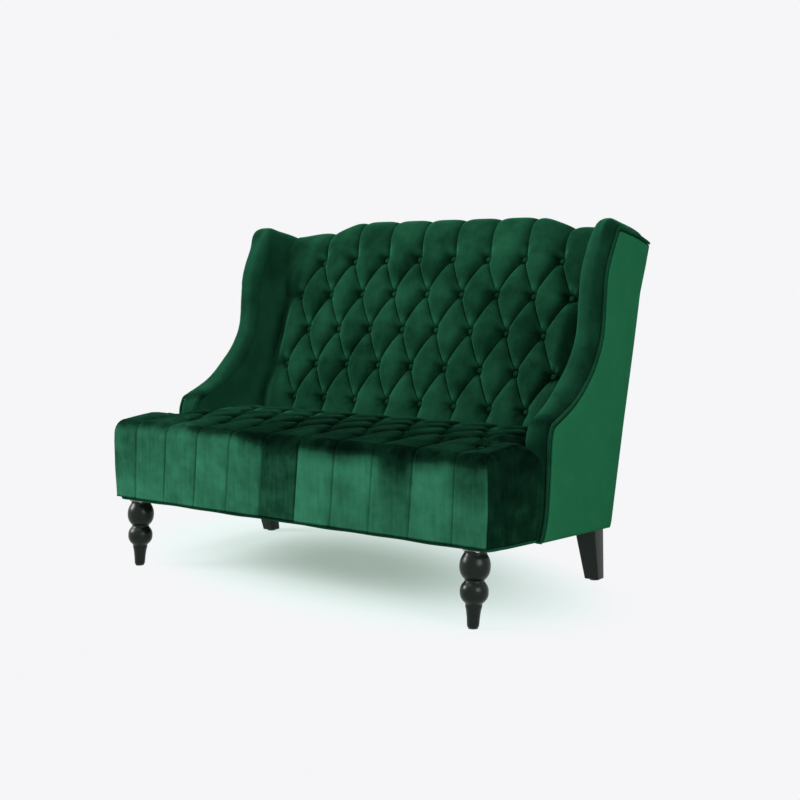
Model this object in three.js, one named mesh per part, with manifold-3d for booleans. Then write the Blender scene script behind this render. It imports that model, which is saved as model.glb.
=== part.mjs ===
// A tufted wing-back loveseat in millimetres: X to the right, Y to the back, Z up.
// The origin lies on the floor under the middle of the bounding box.
import * as THREE from "three";
import { mergeVertices } from "three/addons/utils/BufferGeometryUtils.js";
import Module from "manifold-3d";

const wasm = await Module();
wasm.setup();

// Overall sizes
const overallWidth = 1276.35;
const overallDepth = 863.6;
const overallHeight = 977.9;
const seatSideSetback = 9.525;
const seatHeight = 430;
const armHeight = 440;
const frontUnderside = 190;
const rearUnderside = 150;
const bodyDepth = 598;
const crestInset = 81.86;
const clearance = 0.3;
const softClearance = 0.7;
const overrun = 60;

// Tufting
const tuftPitch = 119.1;
const backRowPitch = 111;
const seatRowPitch = 108;
const backTuftDepth = 24;
const seatTuftDepth = 15;
const pleatDepth = 9;
const tuftFullness = 0.65;
const pleatFullness = 0.6;
const stationsPerPitch = 4;
const mostSkew = 0.5;

// Seat
const seatFrontDrop = 16;
const seatRearDrop = 12;
const seatTongueReach = 54;
const seatEdgeRound = 34;
const seatSideRound = 22;
const earRoundReach = 122.6;
const firstSeatRow = 116.8;
const apronThickness = 29.5;
const seatPadHeight = 134;
const springCrown = 14;
const deckThickness = 1.5;

// Back, measured in its raked plane
const crestSetback = -25.7;
const rollSetback = 69;
const crownDrop = 32;
const shoulderDrop = 12;
const railUnderCrest = 72;
const firstBackRowDrop = 126.4;
const lumbarDepth = 138.5;
const thinnestPad = 9;
const padTuck = 60.4;
const padFootDepth = 132;
const sideRecess = 52;
const footRecess = 31;
const sideRecessReach = 100;

// Side units
const wingThicknessLow = 72;
const wingThicknessHigh = 64;
const sidePanelThickness = 12;
const sideBoardThickness = 18;
const boxingDepth = 22;
const boxingBulge = 10.5;
const wingBulge = 30;
const weltRadius = 4.2;
const padStartLift = 4;

// Frame stock
const railThickness = 28;
const railLift = 6;
const rearRailGap = 3.5;
const postDepth = 31.7;
const postWidth = 27.7;
const backPanelThickness = 8;
const blockLength = 88;
const blockDepth = 66;
const blockHeightShare = 0.434;
const braceHeightShare = 0.72;
const uprightWidth = 44;
const topRailDepth = 62;
const bottomRailDepth = 70;
const webWidth = 50;
const webThickness = 1.5;
const webCount = 3;
const springCount = 4;
const springWireRadius = 2;
const springLoopWidth = 52;
const springLoops = 7;
const springSides = 5;
const dustCoverThickness = 1.2;
const barSides = 20;

// Legs
const frontLegInset = 70.2;
const frontLegSetback = 41;
const frontLegSink = 6.5;
const legBallRadius = 36.7;
const legBeadRadius = 34;
const legNeckRadius = 24;
const legShaftRadius = 20;
const legFootRadius = 14.2;
const legCollarRadius = 27;
const rearLegInset = 57;
const rearLegSink = 2.5;
const rearLegForward = 26;
const rearLegRake = 32;
const rearLegTopWidth = 60;
const rearLegTopDepth = 50;
const rearLegFootWidth = 41;
const rearLegFootDepth = 33;
const plateSize = 44;
const plateThickness = 3;
const boltRadius = 4;
const boltReachDown = 30;
const boltReachUpShare = 0.52;
const glideRadius = 12;
const glideHeight = 3;

// Worked out from the sizes above
const halfWidth = overallWidth / 2;
const frontY = -overallDepth / 2;
const backFootY = frontY + bodyDepth;
const crestBack = overallDepth / 2 - crestInset - backFootY;
const crestAbove = overallHeight - rearUnderside;
const crestReach = Math.hypot(crestBack, crestAbove);
const rake = Math.atan(crestBack / crestAbove) - Math.asin(crestSetback / crestReach);
const frontLegTop = frontUnderside - frontLegSink;
const rearLegTop = rearUnderside - rearLegSink;
const seatSupportHeight = seatHeight - seatPadHeight;
const padStartHeight = seatSupportHeight + padStartLift;
const blockHeight = blockHeightShare * (seatSupportHeight - frontUnderside);
const boltReachUp = boltReachUpShare * blockHeight;
const frameFront = -backPanelThickness - clearance - postDepth;
const padBack = frameFront - webThickness - 2 * clearance - softClearance;
const padFoot = (seatHeight - padTuck - rearUnderside) * Math.cos(rake);
const padFrontY = backFootY - (lumbarDepth + backTuftDepth) * Math.cos(rake) + padFoot * Math.sin(rake);
const boardOuter = halfWidth - sidePanelThickness - clearance;
const boardInner = boardOuter - sideBoardThickness;
const padOuter = boardInner - clearance;

// Materials
const velvet = new THREE.MeshStandardMaterial({ color: 0x0b5a3a, roughness: 0.85, metalness: 0 });
const velvetPanel = new THREE.MeshStandardMaterial({ color: 0x0f6442, roughness: 0.85, metalness: 0 });
const velvetTrim = new THREE.MeshStandardMaterial({ color: 0x0a4f34, roughness: 0.85, metalness: 0 });
const hardwood = new THREE.MeshStandardMaterial({ color: 0xb58a5a, roughness: 0.7, metalness: 0 });
const plywood = new THREE.MeshStandardMaterial({ color: 0xc9a26e, roughness: 0.75, metalness: 0 });
const blackLacquer = new THREE.MeshStandardMaterial({ color: 0x0d0d0e, roughness: 0.3, metalness: 0 });
const steel = new THREE.MeshStandardMaterial({ color: 0x8f9296, roughness: 0.45, metalness: 1 });
const blackCloth = new THREE.MeshStandardMaterial({ color: 0x1a1a1c, roughness: 0.95, metalness: 0 });
const deckCloth = new THREE.MeshStandardMaterial({ color: 0xb9ab8c, roughness: 0.95, metalness: 0 });
const webbing = new THREE.MeshStandardMaterial({ color: 0x6e5a43, roughness: 0.9, metalness: 0 });
const nylon = new THREE.MeshStandardMaterial({ color: 0x2a2a2c, roughness: 0.5, metalness: 0 });

const loveseat = new THREE.Group();
const backFrame = new THREE.Group();
backFrame.position.set(0, backFootY, rearUnderside);
backFrame.rotation.x = -rake;
loveseat.add(backFrame);

function addPiece(name, geometry, material, parent = loveseat) {
  const piece = new THREE.Mesh(geometry, material);
  piece.name = name;
  parent.add(piece);
  return piece;
}

// A piece made on the right side is added there and mirrored to the left.
function addPair(name, geometry, material, parent = loveseat) {
  addPiece(`${name}_right`, geometry, material, parent);
  addPiece(`${name}_left`, geometry, material, parent).scale.x = -1;
}

// Height of the body's sloping underside at a depth.
function undersideAt(y) {
  return frontUnderside + ((rearUnderside - frontUnderside) * (y - frontY)) / bodyDepth;
}

// Distance of a side-view point behind the raked plane of the back.
function behindBack(y, z) {
  return (y - backFootY) * Math.cos(rake) - (z - rearUnderside) * Math.sin(rake);
}

// Distance of a side-view point up the raked plane of the back.
function upBack(y, z) {
  return (y - backFootY) * Math.sin(rake) + (z - rearUnderside) * Math.cos(rake);
}

// Inner face of a side unit: it leans outward as it rises, so the wing thins to its top.
function innerFaceAt(z) {
  const share = (z - padStartHeight) / (overallHeight - padStartHeight);
  return halfWidth - THREE.MathUtils.lerp(wingThicknessLow, wingThicknessHigh, share);
}

function smooth(value, start, end) {
  return THREE.MathUtils.smoothstep(value, start, end);
}

// Fullness of diamond tufting: 0 at a button and along the folds, 1 at the middle of a diamond.
// Rows at even v have their buttons halfway between whole u, rows at odd v at whole u.
function diamondFullness(u, v) {
  const rising = Math.abs(Math.sin(Math.PI * (u - 0.5 + v / 2)));
  const falling = Math.abs(Math.sin(Math.PI * (u - 0.5 - v / 2)));
  return (rising * falling) ** tuftFullness;
}

// Fullness across straight pleats that run from the first row of buttons.
function pleatFullnessAt(u) {
  return Math.abs(Math.cos(Math.PI * u)) ** pleatFullness;
}

// A solid lofted through closed rings of points, each ring anticlockwise as seen from the last ring.
function loftedSolid(rings) {
  const count = rings[0].length;
  const positions = rings.flatMap((ring) => ring.flatMap((point) => point.toArray()));
  const faces = [];
  for (let i = 0; i < rings.length - 1; i++) {
    for (let j = 0; j < count; j++) {
      const next = (j + 1) % count;
      const a = i * count + j;
      const b = i * count + next;
      faces.push(a, b, a + count, a + count, b, b + count);
    }
  }
  const last = (rings.length - 1) * count;
  for (const [a, b, c] of capFaces(rings[0])) faces.push(a, c, b);
  for (const [a, b, c] of capFaces(rings[rings.length - 1])) faces.push(last + a, last + b, last + c);
  const geometry = new THREE.BufferGeometry();
  geometry.setAttribute("position", new THREE.Float32BufferAttribute(positions, 3));
  geometry.setIndex(faces);
  return geometry;
}

// Triangles that close a ring, found in the plane that the ring lies in.
function capFaces(ring) {
  const normal = new THREE.Vector3();
  ring.forEach((point, i) => {
    const next = ring[(i + 1) % ring.length];
    normal.add(new THREE.Vector3().crossVectors(point, next));
  });
  normal.normalize();
  const across = ring[1].clone().sub(ring[0]).normalize();
  const along = new THREE.Vector3().crossVectors(normal, across);
  const flat = ring.map((point) => new THREE.Vector2(point.dot(across), point.dot(along)));
  return THREE.ShapeUtils.triangulateShape(flat, []);
}

// An outline of side-view points (y, z) made into a board between two widths.
function sideBoard(outline, xStart, xEnd) {
  const shape = new THREE.Shape(outline);
  const geometry = new THREE.ExtrudeGeometry(shape, { depth: xEnd - xStart, bevelEnabled: false });
  const axes = new THREE.Matrix4().makeBasis(
    new THREE.Vector3(0, 1, 0),
    new THREE.Vector3(0, 0, 1),
    new THREE.Vector3(1, 0, 0),
  );
  return geometry.applyMatrix4(axes).translate(xStart, 0, 0);
}

// An outline of front-view points (x, z) made into a board between two depths.
function faceBoard(outline, yStart, yEnd) {
  const shape = new THREE.Shape(outline);
  const geometry = new THREE.ExtrudeGeometry(shape, { depth: yEnd - yStart, bevelEnabled: false });
  return geometry.rotateX(Math.PI / 2).translate(0, yEnd, 0);
}

function block(xStart, xEnd, yStart, yEnd, zStart, zEnd) {
  const geometry = new THREE.BoxGeometry(xEnd - xStart, yEnd - yStart, zEnd - zStart);
  return geometry.translate((xStart + xEnd) / 2, (yStart + yEnd) / 2, (zStart + zEnd) / 2);
}

// A round bar along Z between two heights.
function bar(radius, x, y, zStart, zEnd) {
  const geometry = new THREE.CylinderGeometry(radius, radius, zEnd - zStart, barSides);
  return geometry.rotateX(Math.PI / 2).translate(x, y, (zStart + zEnd) / 2);
}

function toSolid(geometry) {
  const bare = geometry.clone();
  bare.deleteAttribute("normal");
  bare.deleteAttribute("uv");
  const merged = mergeVertices(bare, clearance / 100);
  const mesh = new wasm.Mesh({
    numProp: 3,
    vertProperties: merged.attributes.position.array,
    triVerts: new Uint32Array(merged.index.array),
  });
  return new wasm.Manifold(mesh);
}

function fromSolid(solid) {
  const mesh = solid.getMesh();
  const geometry = new THREE.BufferGeometry();
  geometry.setAttribute("position", new THREE.BufferAttribute(mesh.vertProperties, 3));
  geometry.setIndex(new THREE.BufferAttribute(mesh.triVerts, 1));
  return geometry;
}

function cut(geometry, ...cutters) {
  return fromSolid(cutters.reduce((solid, cutter) => solid.subtract(toSolid(cutter)), toSolid(geometry)));
}

// The part of an outline where a distance function is not above its limit.
function clipped(outline, distanceAt, limit) {
  const kept = [];
  outline.forEach((point, i) => {
    const next = outline[(i + 1) % outline.length];
    const here = distanceAt(point) - limit;
    const there = distanceAt(next) - limit;
    if (here <= 0) kept.push(point.clone());
    if (here < 0 !== there < 0 && here !== 0) kept.push(point.clone().lerp(next, here / (here - there)));
  });
  return kept;
}

// A line of points moved to its left by a distance, mitred at each point.
function offsetLine(line, distance) {
  return line.map((point, i) => {
    const before = line[Math.max(i - 1, 0)];
    const after = line[Math.min(i + 1, line.length - 1)];
    const into = point.clone().sub(before);
    const out = after.clone().sub(point);
    if (i === 0) into.copy(out);
    if (i === line.length - 1) out.copy(into);
    into.normalize();
    out.normalize();
    const normal = new THREE.Vector2(-into.y - out.y, into.x + out.x).normalize();
    const mitre = distance / Math.max(normal.dot(new THREE.Vector2(-into.y, into.x)), mostSkew);
    return point.clone().addScaledVector(normal, mitre);
  });
}

// A line moved to its right, without the points that a tight bend would turn back.
function insetLine(line, distance) {
  const moved = offsetLine(line, -distance);
  const kept = [moved[0]];
  for (let i = 1; i < line.length; i++) {
    const step = line[i].clone().sub(line[i - 1]);
    if (moved[i].clone().sub(kept[kept.length - 1]).dot(step) > 0) kept.push(moved[i]);
  }
  return kept;
}

// Side-view line of the arm and wing: up the arm's front, back along the arm, up the wing, over its top.
const stumpShares = [[0.2638, 0], [0.2858, 0.18], [0.3078, 0.8], [0.317, 1]];
const sweepShares = [[0.3286, 0.0261], [0.3495, 0.0408], [0.4537, 0.1134], [0.5718, 0.2695],
  [0.617, 0.3904], [0.6355, 0.5819], [0.6447, 0.6917], [0.6876, 0.8366], [0.7119, 0.898]];
const wingTopShares = [[0.7265, 0.9275], [0.789, 0.912], [0.866, 0.8856], [0.9365, 0.85]];
const sweepSteps = 16;

// A side-view point, its height a share of the rise from the arm's height to the overall height.
function sidePoint([depthShare, riseShare]) {
  const y = frontY + depthShare * overallDepth;
  return new THREE.Vector2(y, THREE.MathUtils.lerp(armHeight, overallHeight, riseShare));
}

// A side-view point on the front of the arm, its height a share of the arm's own rise.
function stumpPoint([depthShare, riseShare]) {
  const y = frontY + depthShare * overallDepth;
  const foot = undersideAt(y);
  return new THREE.Vector2(y, THREE.MathUtils.lerp(foot, armHeight, riseShare));
}

const padStep = [padStartHeight - clearance, padStartHeight + softClearance];
const stumpLine = withHeights(stumpShares.map(stumpPoint), padStep);
const sweepLine = new THREE.SplineCurve(sweepShares.map(sidePoint)).getPoints(sweepSteps);
const wingTopLine = wingTopShares.map(sidePoint);
const sideLine = [...stumpLine, ...sweepLine, ...wingTopLine];
const wingTip = wingTopLine[wingTopLine.length - 1];

// A rising line with points added where it passes some heights.
function withHeights(line, heights) {
  return line.flatMap((point, i) => {
    const next = line[i + 1] ?? point;
    const passed = heights.filter((height) => point.y < height && height < next.y);
    return [point, ...passed.map((height) => pointBetween(point, next, height))];
  });
}

function pointBetween(low, high, height) {
  return low.clone().lerp(high, (height - low.y) / (high.y - low.y));
}

// The point at which a rising line passes a height.
function pointAtHeight(line, height) {
  const above = line.findIndex((point) => point.y > height);
  return pointBetween(line[above - 1], line[above], height);
}

// A side board's outline: the side line moved inward, closed at a limit behind and below.
function sideOutline(inset, backLimit, lift) {
  const line = insetLine(sideLine, inset);
  const rear = wingTip.x + overrun;
  const low = new THREE.Vector2(frontY, -overrun);
  const closed = [...line, new THREE.Vector2(rear, wingTip.y - inset), new THREE.Vector2(rear, low.y),
    new THREE.Vector2(line[0].x, low.y)];
  const behind = clipped(closed, (point) => behindBack(point.x, point.y), backLimit);
  return clipped(behind, (point) => undersideAt(point.x) + lift - point.y, 0).reverse();
}

// Outer side panel, with its rear edge kicked back to the wing's tip
const tipFlareShares = [[0.9075, 0.7288], [0.8728, 0.6042]];
const panelEdge = weltRadius + 4 * softClearance;

function sidePanelOutline() {
  const line = insetLine(sideLine, panelEdge);
  const flare = tipFlareShares.map(sidePoint);
  const footCorner = new THREE.Vector2(backFootY, rearUnderside + railLift);
  const foot = new THREE.Vector2(backFootY - railLift, undersideAt(backFootY - railLift));
  return [...line, ...flare, footCorner, foot].reverse();
}

addPair("side_outer_panel", sideBoard(sidePanelOutline(), boardOuter + clearance, halfWidth), velvetPanel);

// Plywood side frame behind the outer panel
const boardOutline = sideOutline(boxingDepth + clearance, -backPanelThickness - clearance, railLift);
addPair("side_frame_board", sideBoard(boardOutline, boardInner, boardOuter), plywood);

// Padded inner face of the arm and wing, leaning outward as it rises
function innerPad() {
  const inset = boxingDepth + clearance;
  const whole = sideOutline(inset, frameFront - webThickness - 2 * clearance, railLift);
  const outline = clipped(whole, (point) => padStartHeight - point.y, 0);
  const geometry = sideBoard(outline, boardInner - railThickness, padOuter);
  const position = geometry.attributes.position;
  for (let i = 0; i < position.count; i++) {
    if (position.getX(i) < padOuter - clearance) position.setX(i, innerFaceAt(position.getZ(i)));
  }
  return geometry;
}

addPair("side_inner_pad", innerPad(), velvet);

// Rounded boxing band along the front and top of the arm and wing
const weltInner = halfWidth - 2 * weltRadius - clearance;
const bandCrownShares = [[0, 0], [0.12, 0.6], [0.45, 1], [0.8, 0.76], [1, 0.2]];
const bulgeRiseShare = 0.2;
const topBulgeShares = [0.72, 0.5, 0.48, 0.2];

// Crown of the band: low on the arm's front, fuller along the arm and wing, flatter over the wing's top.
function bandBulgeAt(index) {
  const past = index - (sideLine.length - wingTopLine.length);
  if (past >= 0) return wingBulge * topBulgeShares[past];
  const full = THREE.MathUtils.lerp(armHeight, overallHeight, bulgeRiseShare);
  return THREE.MathUtils.lerp(boxingBulge, wingBulge, smooth(sideLine[index].y, armHeight, full));
}

function boxingRing(index) {
  const point = sideLine[index];
  const inner = point.y < padStartHeight ? padOuter + clearance : innerFaceAt(point.y);
  const width = weltInner - inner;
  const section = [
    [boardOuter, -boxingDepth],
    [inner, -boxingDepth],
    ...bandCrownShares.map(([across, rise]) => [inner + across * width, rise * bandBulgeAt(index)]),
    [weltInner, -weltRadius],
    [boardOuter, -weltRadius],
  ];
  return section.map(([x, distance]) => {
    const place = offsetLine(sideLine, distance)[index];
    return new THREE.Vector3(x, place.x, place.y);
  });
}

addPair("side_boxing_band", loftedSolid(sideLine.map((point, i) => boxingRing(i))), velvet);

// A round cord swept along points with rounded bends.
function cordAlong(points, radius, steps, sides) {
  const section = new THREE.Shape(
    Array.from({ length: sides }, (unused, i) => {
      const angle = (2 * Math.PI * i) / sides;
      return new THREE.Vector2(radius * Math.cos(angle), radius * Math.sin(angle));
    }),
  );
  const path = new THREE.CatmullRomCurve3(points, false, "centripetal");
  return new THREE.ExtrudeGeometry(section, { steps, bevelEnabled: false, extrudePath: path });
}

const weltSides = 6;
const weltSteps = 44;
const sideWeltPoints = sideLine.map((point) => new THREE.Vector3(halfWidth - weltRadius, point.x, point.y));
addPair("side_panel_welt", cordAlong(sideWeltPoints, weltRadius, weltSteps, weltSides), velvetTrim);

// Front, side and rear rails of the seat frame
const railFront = frontY + apronThickness + clearance;
const blockFrontTop = frontLegTop + plateThickness + 2 * clearance + blockHeight;
const blockRearTop = rearLegTop + plateThickness + 2 * clearance + blockHeight;
const blockInner = padOuter - blockLength;
const sideRailInner = padOuter - railThickness;
const postGap = padOuter - postWidth;
const panelFront = backFootY - (backPanelThickness + clearance) / Math.cos(rake);
const rearRailBack = panelFront - rearRailGap;
const rearRailFront = rearRailBack - railThickness;

function frontRail() {
  const low = frontUnderside + railLift;
  const notch = blockFrontTop + clearance;
  const inner = blockInner - clearance;
  const outline = [[-padOuter, notch], [-inner, notch], [-inner, low], [inner, low], [inner, notch],
    [padOuter, notch], [padOuter, seatSupportHeight], [-padOuter, seatSupportHeight]];
  return faceBoard(outline.map(([x, z]) => new THREE.Vector2(x, z)), railFront, railFront + railThickness);
}

function sideRail() {
  const start = railFront + railThickness + clearance;
  const end = rearRailFront - clearance;
  const frontNotch = railFront + blockDepth + clearance;
  const rearNotch = rearRailBack - blockDepth - clearance;
  const outline = [[start, blockFrontTop + clearance], [frontNotch, blockFrontTop + clearance],
    [frontNotch, undersideAt(frontNotch) + railLift], [rearNotch, undersideAt(rearNotch) + railLift],
    [rearNotch, blockRearTop + clearance], [end, blockRearTop + clearance],
    [end, seatSupportHeight], [start, seatSupportHeight]];
  return sideBoard(outline.map(([y, z]) => new THREE.Vector2(y, z)), sideRailInner, padOuter);
}

addPiece("front_seat_rail", frontRail(), hardwood);
addPair("side_seat_rail", sideRail(), hardwood);

const rearRailReach = Math.min(sideRailInner, postGap) - clearance;
const rearRailLow = blockRearTop + clearance;
addPiece("rear_seat_rail", block(-rearRailReach, rearRailReach, rearRailFront, rearRailBack,
  rearRailLow, seatSupportHeight), hardwood);

const braceFront = railFront + railThickness + clearance;
const braceLow = frontUnderside + railLift;
const braceTop = THREE.MathUtils.lerp(braceLow, seatSupportHeight, braceHeightShare);
addPiece("centre_seat_brace", block(-uprightWidth / 2, uprightWidth / 2, braceFront,
  rearRailFront - clearance, braceLow, braceTop), hardwood);

// Corner blocks with the legs, their plates, bolts and glides
const frontLegX = halfWidth - frontLegInset;
const frontLegY = frontY + frontLegSetback;
const rearLegX = halfWidth - rearLegInset;
const rearLegY = backFootY - rearLegForward;
const undersideSlope = (frontUnderside - rearUnderside) / bodyDepth;

function addLegFittings(place, x, y, top) {
  const plateLow = top + clearance;
  const plateHigh = plateLow + plateThickness;
  const bore = bar(boltRadius + clearance, x, y, top - boltReachDown - clearance, plateHigh + boltReachUp);
  const half = plateSize / 2;
  const plateX = Math.min(x, padOuter - half);
  const plateY = Math.min(y, panelFront - clearance - half);
  addPair(`${place}_leg_plate`, cut(block(plateX - half, plateX + half, plateY - half, plateY + half,
    plateLow, plateHigh), bore), steel);
  addPair(`${place}_leg_bolt`, bar(boltRadius, x, y, top - boltReachDown, plateHigh + boltReachUp
    - 2 * clearance), steel);
  return bore;
}

const frontBore = addLegFittings("front", frontLegX, frontLegY, frontLegTop);
const rearBore = addLegFittings("rear", rearLegX, rearLegY, rearLegTop);
const frontBlockLow = frontLegTop + plateThickness + 2 * clearance;
const rearBlockLow = rearLegTop + plateThickness + 2 * clearance;
addPair("front_corner_block", cut(block(blockInner, padOuter, railFront, railFront + blockDepth,
  frontBlockLow, blockFrontTop), frontBore), hardwood);
addPair("rear_corner_block", cut(block(blockInner, padOuter, rearRailBack - blockDepth, rearRailBack,
  rearBlockLow, blockRearTop), rearBore), hardwood);

// Turned front leg: two beads over a tapering shaft, its axis square to the sloping underside
const ballLowShare = 0.625;
const beadLowShare = 0.315;
const footLow = glideHeight + clearance;
const beadSteps = 5;
const turningSides = 22;

function beadProfile(low, high, startRadius, beadRadius, endRadius) {
  return Array.from({ length: beadSteps }, (unused, i) => {
    const share = (i + 1) / (beadSteps + 1);
    const neck = THREE.MathUtils.lerp(startRadius, endRadius, share);
    const swell = Math.sqrt(1 - (2 * share - 1) ** 2);
    return new THREE.Vector2(neck + (beadRadius - neck) * swell, THREE.MathUtils.lerp(low, high, share));
  });
}

function frontLeg() {
  const beadLow = beadLowShare * frontLegTop;
  const ballLow = ballLowShare * frontLegTop;
  const profile = [
    new THREE.Vector2(0, footLow),
    new THREE.Vector2(legFootRadius, footLow),
    new THREE.Vector2(legShaftRadius, beadLow),
    ...beadProfile(beadLow, ballLow, legShaftRadius, legBeadRadius, legNeckRadius),
    new THREE.Vector2(legNeckRadius, ballLow),
    ...beadProfile(ballLow, frontLegTop, legNeckRadius, legBallRadius, legCollarRadius),
    new THREE.Vector2(legCollarRadius, frontLegTop),
    new THREE.Vector2(0, frontLegTop),
  ];
  const turned = new THREE.LatheGeometry(profile, turningSides).rotateX(Math.PI / 2);
  const lean = new THREE.Matrix4().makeShear(0, 0, 0, 0, 0, undersideSlope);
  const rise = new THREE.Matrix4().makeTranslation(frontLegX, frontLegY - undersideSlope * frontLegTop, 0);
  return cut(turned.applyMatrix4(lean).applyMatrix4(rise), frontBore);
}

// Square rear leg: tapered, with its foot raked to the back
function rearLeg() {
  const geometry = new THREE.BoxGeometry(rearLegTopWidth, rearLegTopDepth, rearLegTop - footLow);
  geometry.translate(rearLegX, rearLegY, (rearLegTop + footLow) / 2);
  const position = geometry.attributes.position;
  for (let i = 0; i < position.count; i++) {
    if (position.getZ(i) < rearLegTop / 2) {
      const across = (position.getX(i) - rearLegX) * (rearLegFootWidth / rearLegTopWidth);
      const along = (position.getY(i) - rearLegY) * (rearLegFootDepth / rearLegTopDepth);
      position.setX(i, rearLegX + across);
      position.setY(i, rearLegY + rearLegRake + along);
    }
  }
  return cut(geometry, rearBore);
}

addPair("front_leg", frontLeg(), blackLacquer);
addPair("rear_leg", rearLeg(), blackLacquer);
const frontFootY = frontLegY - undersideSlope * (frontLegTop - footLow);
addPair("front_leg_glide", bar(glideRadius, frontLegX, frontFootY, 0, glideHeight), nylon);
addPair("rear_leg_glide", bar(glideRadius, rearLegX, rearLegY + rearLegRake, 0, glideHeight), nylon);

// Springs, deck and dust cover
const springFront = railFront + railThickness / 3;
const springBack = rearRailFront + railThickness / 2;
const springLow = seatSupportHeight + clearance + springWireRadius;

// Height of the springs' arch above its ends, at a depth.
function archAt(y) {
  const share = THREE.MathUtils.clamp((y - springFront) / (springBack - springFront), 0, 1);
  return springCrown * Math.sin(Math.PI * share);
}

function springPoints(x) {
  const turns = springLoops * 4;
  return Array.from({ length: turns + 1 }, (unused, i) => {
    const y = THREE.MathUtils.lerp(springFront, springBack, i / turns);
    const swing = i % 2 === 0 ? 0 : (springLoopWidth / 2) * (i % 4 === 1 ? 1 : -1);
    return new THREE.Vector3(x + swing, y, springLow + archAt(y));
  });
}

const springSpacing = (2 * innerFaceAt(padStartHeight)) / (springCount + 1);
for (let i = 0; i < springCount; i++) {
  const x = (i - (springCount - 1) / 2) * springSpacing;
  const geometry = cordAlong(springPoints(x), springWireRadius, springLoops * 8, springSides);
  addPiece(`seat_spring_${i + 1}`, geometry, steel);
}

const archSteps = 8;

function archLine(start, end, lift) {
  return Array.from({ length: archSteps + 1 }, (unused, i) => {
    const y = THREE.MathUtils.lerp(start, end, i / archSteps);
    return new THREE.Vector2(y, springLow + springWireRadius + clearance + archAt(y) + lift);
  });
}

const deckReach = innerFaceAt(padStartHeight) - softClearance;
const deckFront = railFront + softClearance;
const deckBack = rearRailBack - clearance;
const deckOutline = [...archLine(deckFront, deckBack, 0),
  ...archLine(deckFront, deckBack, deckThickness).reverse()];
addPiece("seat_spring_cover", sideBoard(deckOutline, -deckReach, deckReach), deckCloth);

function dustCover() {
  const reach = sideRailInner + railThickness / 2;
  const front = railFront + railThickness / 2;
  const back = rearRailFront + railThickness / 2;
  const notchX = blockInner - softClearance;
  const frontNotch = railFront + blockDepth + softClearance;
  const rearNotch = rearRailBack - blockDepth - softClearance;
  const outline = [[-notchX, front], [notchX, front], [notchX, frontNotch], [reach, frontNotch],
    [reach, rearNotch], [notchX, rearNotch], [notchX, back], [-notchX, back], [-notchX, rearNotch],
    [-reach, rearNotch], [-reach, frontNotch], [-notchX, frontNotch]];
  const shape = new THREE.Shape(outline.map(([x, y]) => new THREE.Vector2(x, y)));
  const geometry = new THREE.ExtrudeGeometry(shape, { depth: dustCoverThickness, bevelEnabled: false });
  const lean = new THREE.Matrix4().makeShear(0, 0, 0, -undersideSlope, 0, 0);
  const low = undersideAt(0) + railLift - clearance - dustCoverThickness;
  return geometry.applyMatrix4(lean).translate(0, 0, low);
}

addPiece("dust_cover", dustCover(), blackCloth);

// Tufted seat: crowned top, pleated front face and sides, with ears in front of the arms
const seatHalf = halfWidth - seatSideSetback;
const seatBodyY = frontY + apronThickness;
const seatBack = padFrontY - softClearance;
const tongueBack = seatBack + seatTongueReach;
const tongueTop = padFootHeightAt(tongueBack) - clearance - 2 * softClearance;
const firstRowY = frontY + firstSeatRow;
const seatHalfRows = Math.ceil((2 * (seatBack - firstRowY)) / seatRowPitch - 1 / 2);
const seatEdgeShares = [[0.68, 0.04], [0.32, 0.24], [0.09, 0.62]];
const frontFaceShares = [0, 0.35, 0.7, 1];
const edgeTuftShare = 0.8;
const apronBottomLift = 2 * weltRadius + clearance;

// Height of the back pad's foot at a depth.
function padFootHeightAt(y) {
  return rearUnderside + padFoot / Math.cos(rake) - (y - backFootY) * Math.tan(rake);
}

function seatCrestAt(y) {
  const share = (y - frontY) / (seatBack - frontY);
  const drop = share < 0.5 ? seatFrontDrop : seatRearDrop;
  return seatHeight - drop * (2 * share - 1) ** 2;
}

// Fullness of the seat's top at a place: straight pleats ahead of the first row, diamonds behind it.
function seatFullnessAt(x, y) {
  const u = x / tuftPitch;
  const v = (y - firstRowY) / seatRowPitch;
  return v <= 0 ? pleatFullnessAt(u) : diamondFullness(u, v);
}

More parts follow.
